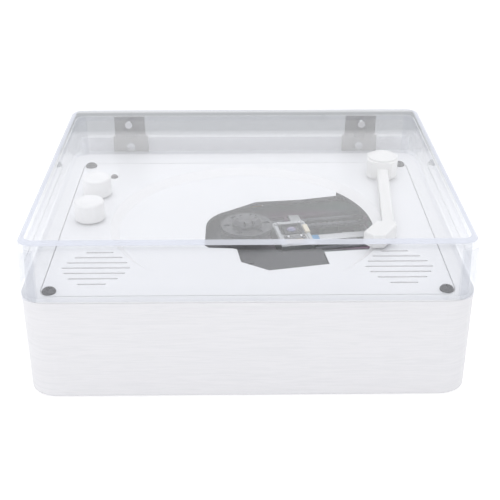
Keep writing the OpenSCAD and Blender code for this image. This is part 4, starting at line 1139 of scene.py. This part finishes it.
@dataclass
class DiscDrive:
    """What shows of the disc drive besides its CAD nodes: pickup details, ribbon and small print."""

    finishes: Finishes
    lens_x: float = 23.0 * MM
    slab_bevel: float = 0.15 * MM
    slab_cut: float = 0.3 * MM
    slab_steps: int = 2
    ribbon_y: float = 5.5 * MM
    ribbon_width: float = 6.0 * MM
    ribbon_thick: float = 0.24 * MM
    ribbon_start: float = 2.5 * MM
    ribbon_end: float = 68.3 * MM
    ribbon_bend: float = 2.0 * MM
    ribbon_gap: float = 0.15 * MM
    fall_end: float = 1.0 * MM
    tail_back: float = 42.0 * MM
    tail_side: float = 0.1 * MM
    tail_thick: float = 0.3 * MM
    tail_bevel: float = 0.1 * MM
    blue_start: float = 12.0 * MM
    blue_length: float = 4.4 * MM
    blue_side: float = 0.1 * MM
    blue_cut: float = 0.1 * MM
    blue_heights: Pair = (-0.2 * MM, 0.25 * MM)
    screw_segments: int = 20
    screw_smooth_below: float = 40.0
    ribbon_smooth_below: float = 30.0

    FITTINGS = (
        Fitting("pickup_bridge_back", (0.0, 6.4 * MM), (15.4 * MM, 2.2 * MM), 0.7 * MM, "cast"),
        Fitting("pickup_side_left", (-7.3 * MM, -5.0 * MM), (1.8 * MM, 18.0 * MM), 0.6 * MM, "cast"),
        Fitting("pickup_side_right", (7.3 * MM, -8.0 * MM), (1.6 * MM, 11.0 * MM), 0.6 * MM, "cast"),
        Fitting("pickup_bridge_front", (-1.0 * MM, -14.0 * MM), (9.0 * MM, 4.0 * MM), 0.6 * MM, "film"),
        Fitting("magnet_back", (0.0, 4.9 * MM), (8.6 * MM, 1.6 * MM), 0.5 * MM, "black_steel",
                Slot.BLACK, 2.0 * MM),
        Fitting("magnet_front", (0.0, -4.9 * MM), (8.6 * MM, 1.6 * MM), 0.5 * MM, "black_steel",
                Slot.BLACK, 2.0 * MM),
        Fitting("pickup_print", (0.0, -9.2 * MM), (11.0 * MM, 4.4 * MM), 0.35 * MM, "dark_print",
                Slot.BLACK),
    )
    # Millimetres from the lens's axis, in the drive's frame.
    SCREW_PLACES = ((-5.6, 6.4), (5.6, 6.4), (-3.4, -9.2), (3.2, -9.2))
    # A screw's radius and its height over the pickup's top, in millimetres.
    SCREW_FORM = ((0.1, 0.3), (0.85, 0.3), (0.85, 0.8), (0.68, 1.1), (0.3825, 1.15), (0.34, 0.95),
                  (0.1, 0.95))

    def frame(self) -> Turned:
        """Returns the drive's turned frame, about the disc's axis."""
        return Turned(*middle_of("disc_hub"), DRIVE_TURN)

    def slab(self, name: str, centre: Pair, size: Pair, heights: Pair,
             cut: float) -> bpy.types.Object:
        """A small block in the drive's frame.

        Args:
            name: The piece's name.
            centre: Its middle, x and y in the drive's frame.
            size: Its width and length.
            heights: Its lower and upper face.
            cut: The cut at its corners.

        Returns:
            The piece.
        """
        outline = cut_rectangle(*size, cut) + np.array(centre)
        return block(name, self.frame().out(outline), *heights, self.slab_bevel, self.slab_steps)

    def pickup(self) -> None:
        """Magnets, bridges, side rails, print and screws on the pickup's top."""
        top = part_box("pickup_body")[1].z
        for part in self.FITTINGS:
            centre = (self.lens_x + part.place[0], part.place[1])
            heights = (top - part.sunk, top + part.height)
            thing = self.slab(part.name, centre, part.size, heights, self.slab_cut)
            self.finishes.dress(thing, part.finish)
            keep(thing, Body.PICKUP, part.slot)
        profile = np.array(self.SCREW_FORM) * MM + np.array([0.0, top])
        for k, (x, y) in enumerate(self.SCREW_PLACES):
            at = self.frame().out(np.array([[self.lens_x + x * MM, y * MM]]))[0]
            thing = lathe(f"pickup_screw_{k}", profile, (at[0], at[1]), self.screw_segments,
                          self.screw_smooth_below)
            self.finishes.dress(thing, "bright")
            keep(thing, Body.PICKUP, Slot.BRIGHT)

    def ribbon_line(self, level: float, floor: float) -> Points:
        """The ribbon's middle line, x and z: a level run, a quarter arc and a fall.

        Args:
            level: The level run's height.
            floor: The height of what the ribbon falls to.

        Returns:
            The line's points, from the pickup outwards.
        """
        radius, end = self.ribbon_bend, self.ribbon_end
        turn = np.linspace(0.0, math.pi / 2, 7)[1:]
        run = np.linspace(self.lens_x + self.ribbon_start, end - radius, 12)
        fall = np.linspace(level - radius, floor + self.fall_end, 7)[1:]
        bend = np.column_stack([end - radius + radius * np.sin(turn),
                                level - radius * (1 - np.cos(turn))])
        return np.concatenate([np.column_stack([run, np.full(len(run), level)]), bend,
                               np.column_stack([np.full(len(fall), end), fall])])

    def ribbon(self) -> None:
        """The ribbon as one thin bent strip, its flat tail and its stiff blue end."""
        low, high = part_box("pickup_ribbon")
        level = high.z - self.ribbon_gap
        line = self.ribbon_line(level, low.z)
        ahead = np.gradient(line, axis=0)
        ahead /= np.linalg.norm(ahead, axis=1)[:, None]
        across = np.column_stack([-ahead[:, 1], ahead[:, 0]]) * self.ribbon_thick / 2
        front, back = self.ribbon_y - self.ribbon_width / 2, self.ribbon_y + self.ribbon_width / 2
        corners = [(line - across, front), (line - across, back), (line + across, back),
                   (line + across, front)]
        rows = np.stack([np.column_stack([c[:, 0], np.full(len(c), y), c[:, 1]]) for c, y in corners], 1)
        strip = loop_shell("ribbon_strip", self.frame().out(rows), self.ribbon_smooth_below)
        self.finishes.dress(strip, "ribbon")
        keep(strip, Body.CASE, Slot.RIBBON)
        left, right = self.ribbon_end - self.ribbon_width, self.ribbon_end + self.tail_side
        outline = np.array([[left, front], [right, front], [right, self.tail_back], [left, self.tail_back]])
        tail = block("ribbon_tail", self.frame().out(outline), low.z, low.z + self.tail_thick,
                     self.tail_bevel, self.slab_steps)
        self.finishes.dress(tail, "ribbon")
        keep(tail, Body.CASE, Slot.RIBBON, "pickup_ribbon")
        middle = (self.lens_x + self.blue_start + self.blue_length / 2, self.ribbon_y)
        size = (self.blue_length, self.ribbon_width + self.blue_side)
        under, over = (level + rise for rise in self.blue_heights)
        blue = self.slab("ribbon_blue_end", middle, size, (under, over), self.blue_cut)
        self.finishes.dress(blue, "blue")
        keep(blue, Body.CASE, Slot.RIBBON)

    def build(self) -> None:
        """Makes the drive's fine pieces."""
        self.pickup()
        self.ribbon()


@dataclass
class Grilles:
    """Pale felt under the slots of each grille."""

    finishes: Finishes
    radius: float = 17.2 * MM
    thick: float = 0.3 * MM
    gap: float = 0.05 * MM
    pole: float = 0.2 * MM
    segments: int = 48

    def build(self) -> None:
        """Makes a thin felt disc in each loudspeaker's rim, close under the deck plate."""
        for side in ("left", "right"):
            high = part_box(f"{side}_speaker_basket")[1].z - self.gap
            low = high - self.thick
            profile = np.array([[self.pole, low], [self.radius, low], [self.radius, high],
                                [self.pole, high]])
            felt = lathe(f"{side}_grille_felt", profile, middle_of(f"{side}_speaker_cone"), self.segments)
            self.finishes.dress(felt, "cloth")
            keep(felt, Body.CASE, Slot.PANEL)


class CadLooks:
    """The finishes of the CAD nodes that stay as they are."""

    TABLE: dict[str, tuple[str, ...]] = {
        "case": ("case_shell",),
        "deck": ("deck_plate",),
        "panel": ("bottom_panel", "volume_control", "encoder", "encoder_rotor", "battery_strap"),
        "black_steel": ("bottom_screws", "deck_screws"),
        "rubber": ("rubber_feet", "drive_dampers"),
        "eye": ("remote_eye",),
        "arm": ("arm_base",),
        "steel": ("volume_shaft", "press_shaft", "arm_pin", "arm_clip", "spindle_motor", "spindle_shaft",
                  "left_speaker_magnet", "right_speaker_magnet"),
        "leaf": ("hinge_upper_leaves",),
        "rail_leaf": ("hinge_lower_leaves",),
        "gun": ("guide_rods", "feed_screw", "feed_motor"),
        "bright": ("control_nuts", "hinge_pins", "cover_screws", "rail_screws", "drive_screws",
                   "speaker_screws", "board_screws"),
        "plate": ("drive_plate",),
        "front": ("drive_front_cover",),
        "hub": ("disc_hub",),
        "cast": ("pickup_body",),
        "black": ("lens_holder", "left_speaker_basket", "right_speaker_basket", "board_parts",
                  "audio_socket"),
        "lens": ("lens",),
        "connector": ("pickup_connector",),
        "cone": ("left_speaker_cone", "right_speaker_cone"),
        "board": ("main_board",),
        "battery": ("battery",),
        "lead": ("speaker_leads",),
        "brass": ("power_socket",),
    }

    def __init__(self, finishes: Finishes, nodes: dict[str, bpy.types.Object]) -> None:
        """Keeps what it works on.

        Args:
            finishes: The part's finishes.
            nodes: The CAD nodes by name.
        """
        self.finishes = finishes
        self.nodes = nodes

    def build(self) -> None:
        """Dresses every CAD node of the table."""
        for finish, names in self.TABLE.items():
            for name in names:
                self.finishes.dress(self.nodes[name], finish)


@dataclass
class Studio:
    """Camera, pale floor, sky and soft lights; the floor is shaded behind the part."""

    eye: Triple = (-3.82 * MM, -440.2 * MM, 261.98 * MM)
    pitch: float = 62.036
    yaw: float = -0.727
    lens: float = 68.97
    sensor: float = 36.0
    clip: Pair = (0.01, 100.0)
    sky: float = 0.82
    sky_colour: Colour = (0.985, 0.99, 1.0)
    floor_size: float = 30.0
    floor_light: Colour = (0.96, 0.96, 0.965)
    floor_lighter: Colour = (0.97, 0.97, 0.975)
    floor_glow: float = 0.28
    shade: Colour = (0.36, 0.37, 0.38)
    shade_middle: float = 1.6 * MM
    shade_side: Pair = (0.1335, 0.1395)
    shade_start: Pair = (0.03, 0.24)
    shade_end: Pair = (0.286, 0.297)

    def camera(self) -> None:
        """Sets the camera as the photograph was taken."""
        data = bpy.data.cameras.new("camera")
        data.lens = self.lens
        data.sensor_width = self.sensor
        data.clip_start, data.clip_end = self.clip
        camera = bpy.data.objects.new("camera", data)
        camera.location = self.eye
        camera.rotation_euler = (math.radians(self.pitch), 0.0, math.radians(self.yaw))
        bpy.context.scene.collection.objects.link(camera)
        bpy.context.scene.camera = camera

    def light(self, name: str, place: Triple, aim: Triple, size: float, power: float) -> None:
        """One square soft light.

        Args:
            name: Its name.
            place: Where it is.
            aim: What it looks at.
            size: Its side in metres.
            power: Its power in watts.
        """
        data = bpy.data.lights.new(name, "AREA")
        data.shape = "SQUARE"
        data.size = size
        data.energy = power
        thing = bpy.data.objects.new(name, data)
        way = np.array(aim) - np.array(place)
        flat = math.hypot(way[0], way[1])
        thing.location = place
        thing.rotation_euler = (math.atan2(flat, -way[2]), 0.0, math.atan2(way[1], way[0]) - math.pi / 2)
        bpy.context.scene.collection.objects.link(thing)

    def floor_material(self) -> bpy.types.Material:
        """Returns the floor's pale paint, which is darker on a patch behind the part."""
        sheet = NodeSheet("studio_white")
        speck = sheet.noise(sheet.place(), 3.0, 2.0)
        white = sheet.mix(speck, self.floor_light, self.floor_lighter)
        x, y = sheet.coordinate(0), sheet.coordinate(1)
        aside = sheet.math("ABSOLUTE", sheet.math("SUBTRACT", x, self.shade_middle))
        across = sheet.spread(aside, 1.0, 0.0, self.shade_side)
        along = sheet.spread(y, 1.0, 0.0, self.shade_end)
        start = sheet.spread(y, 0.0, 1.0, self.shade_start)
        shade = sheet.math("MULTIPLY", sheet.math("MULTIPLY", across, along), start)
        lit = sheet.node("BsdfPrincipled", Base_Color=sheet.mix(shade, white, self.shade))
        lit.inputs["Roughness"].default_value = 1.0
        lit.inputs["Specular IOR Level"].default_value = 0.0
        sheet.set(lit.inputs["Emission Color"], sheet.mix(shade, (1.0, 1.0, 1.0), (0.0, 0.0, 0.0)))
        lit.inputs["Emission Strength"].default_value = self.floor_glow
        return sheet.done(lit.outputs[0])

    def build(self) -> None:
        """Makes the sky, the floor, the lights and the camera."""
        scene = bpy.context.scene
        scene.view_settings.view_transform = "Standard"
        world = bpy.data.worlds.new("sky")
        world.use_nodes = True
        back = world.node_tree.nodes["Background"]
        back.inputs["Color"].default_value = (*self.sky_colour, 1.0)
        back.inputs["Strength"].default_value = self.sky
        scene.world = world
        square = np.array([[-1, -1, 0], [1, -1, 0], [1, 1, 0], [-1, 1, 0]])
        floor = new_piece("studio_floor", square * self.floor_size / 2, [[0, 1, 2, 3]])
        floor.data.materials.append(self.floor_material())
        floor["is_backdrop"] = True
        self.light("overhead", place=(0.0, 0.1, 1.6), aim=(0.0, 0.0, 0.0), size=1.6, power=7.0)
        self.light("front_left", place=(-0.9, -1.3, 0.9), aim=(0.0, 0.0, 0.05), size=1.0, power=2.5)
        self.light("backdrop", place=(0.0, 2.2, 1.9), aim=(0.0, 0.0, 1.9), size=2.0, power=6.9)
        self.camera()


def main() -> None:
    """Builds the part's looks in order and reports each piece."""
    logging.basicConfig(level=logging.INFO, format="%(message)s", stream=sys.stdout)
    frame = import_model()
    finishes = Finishes()
    Studio().build()
    CadLooks(finishes, frame["nodes"]).build()
    for assembly in (ClearCover, Knobs, Arm, DiscDrive, Grilles):
        assembly(finishes).build()
        LOG.info("built %s", assembly.__name__)
    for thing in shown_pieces():
        LOG.info("piece %s", thing.name)


if __name__ == "__main__":
    main()
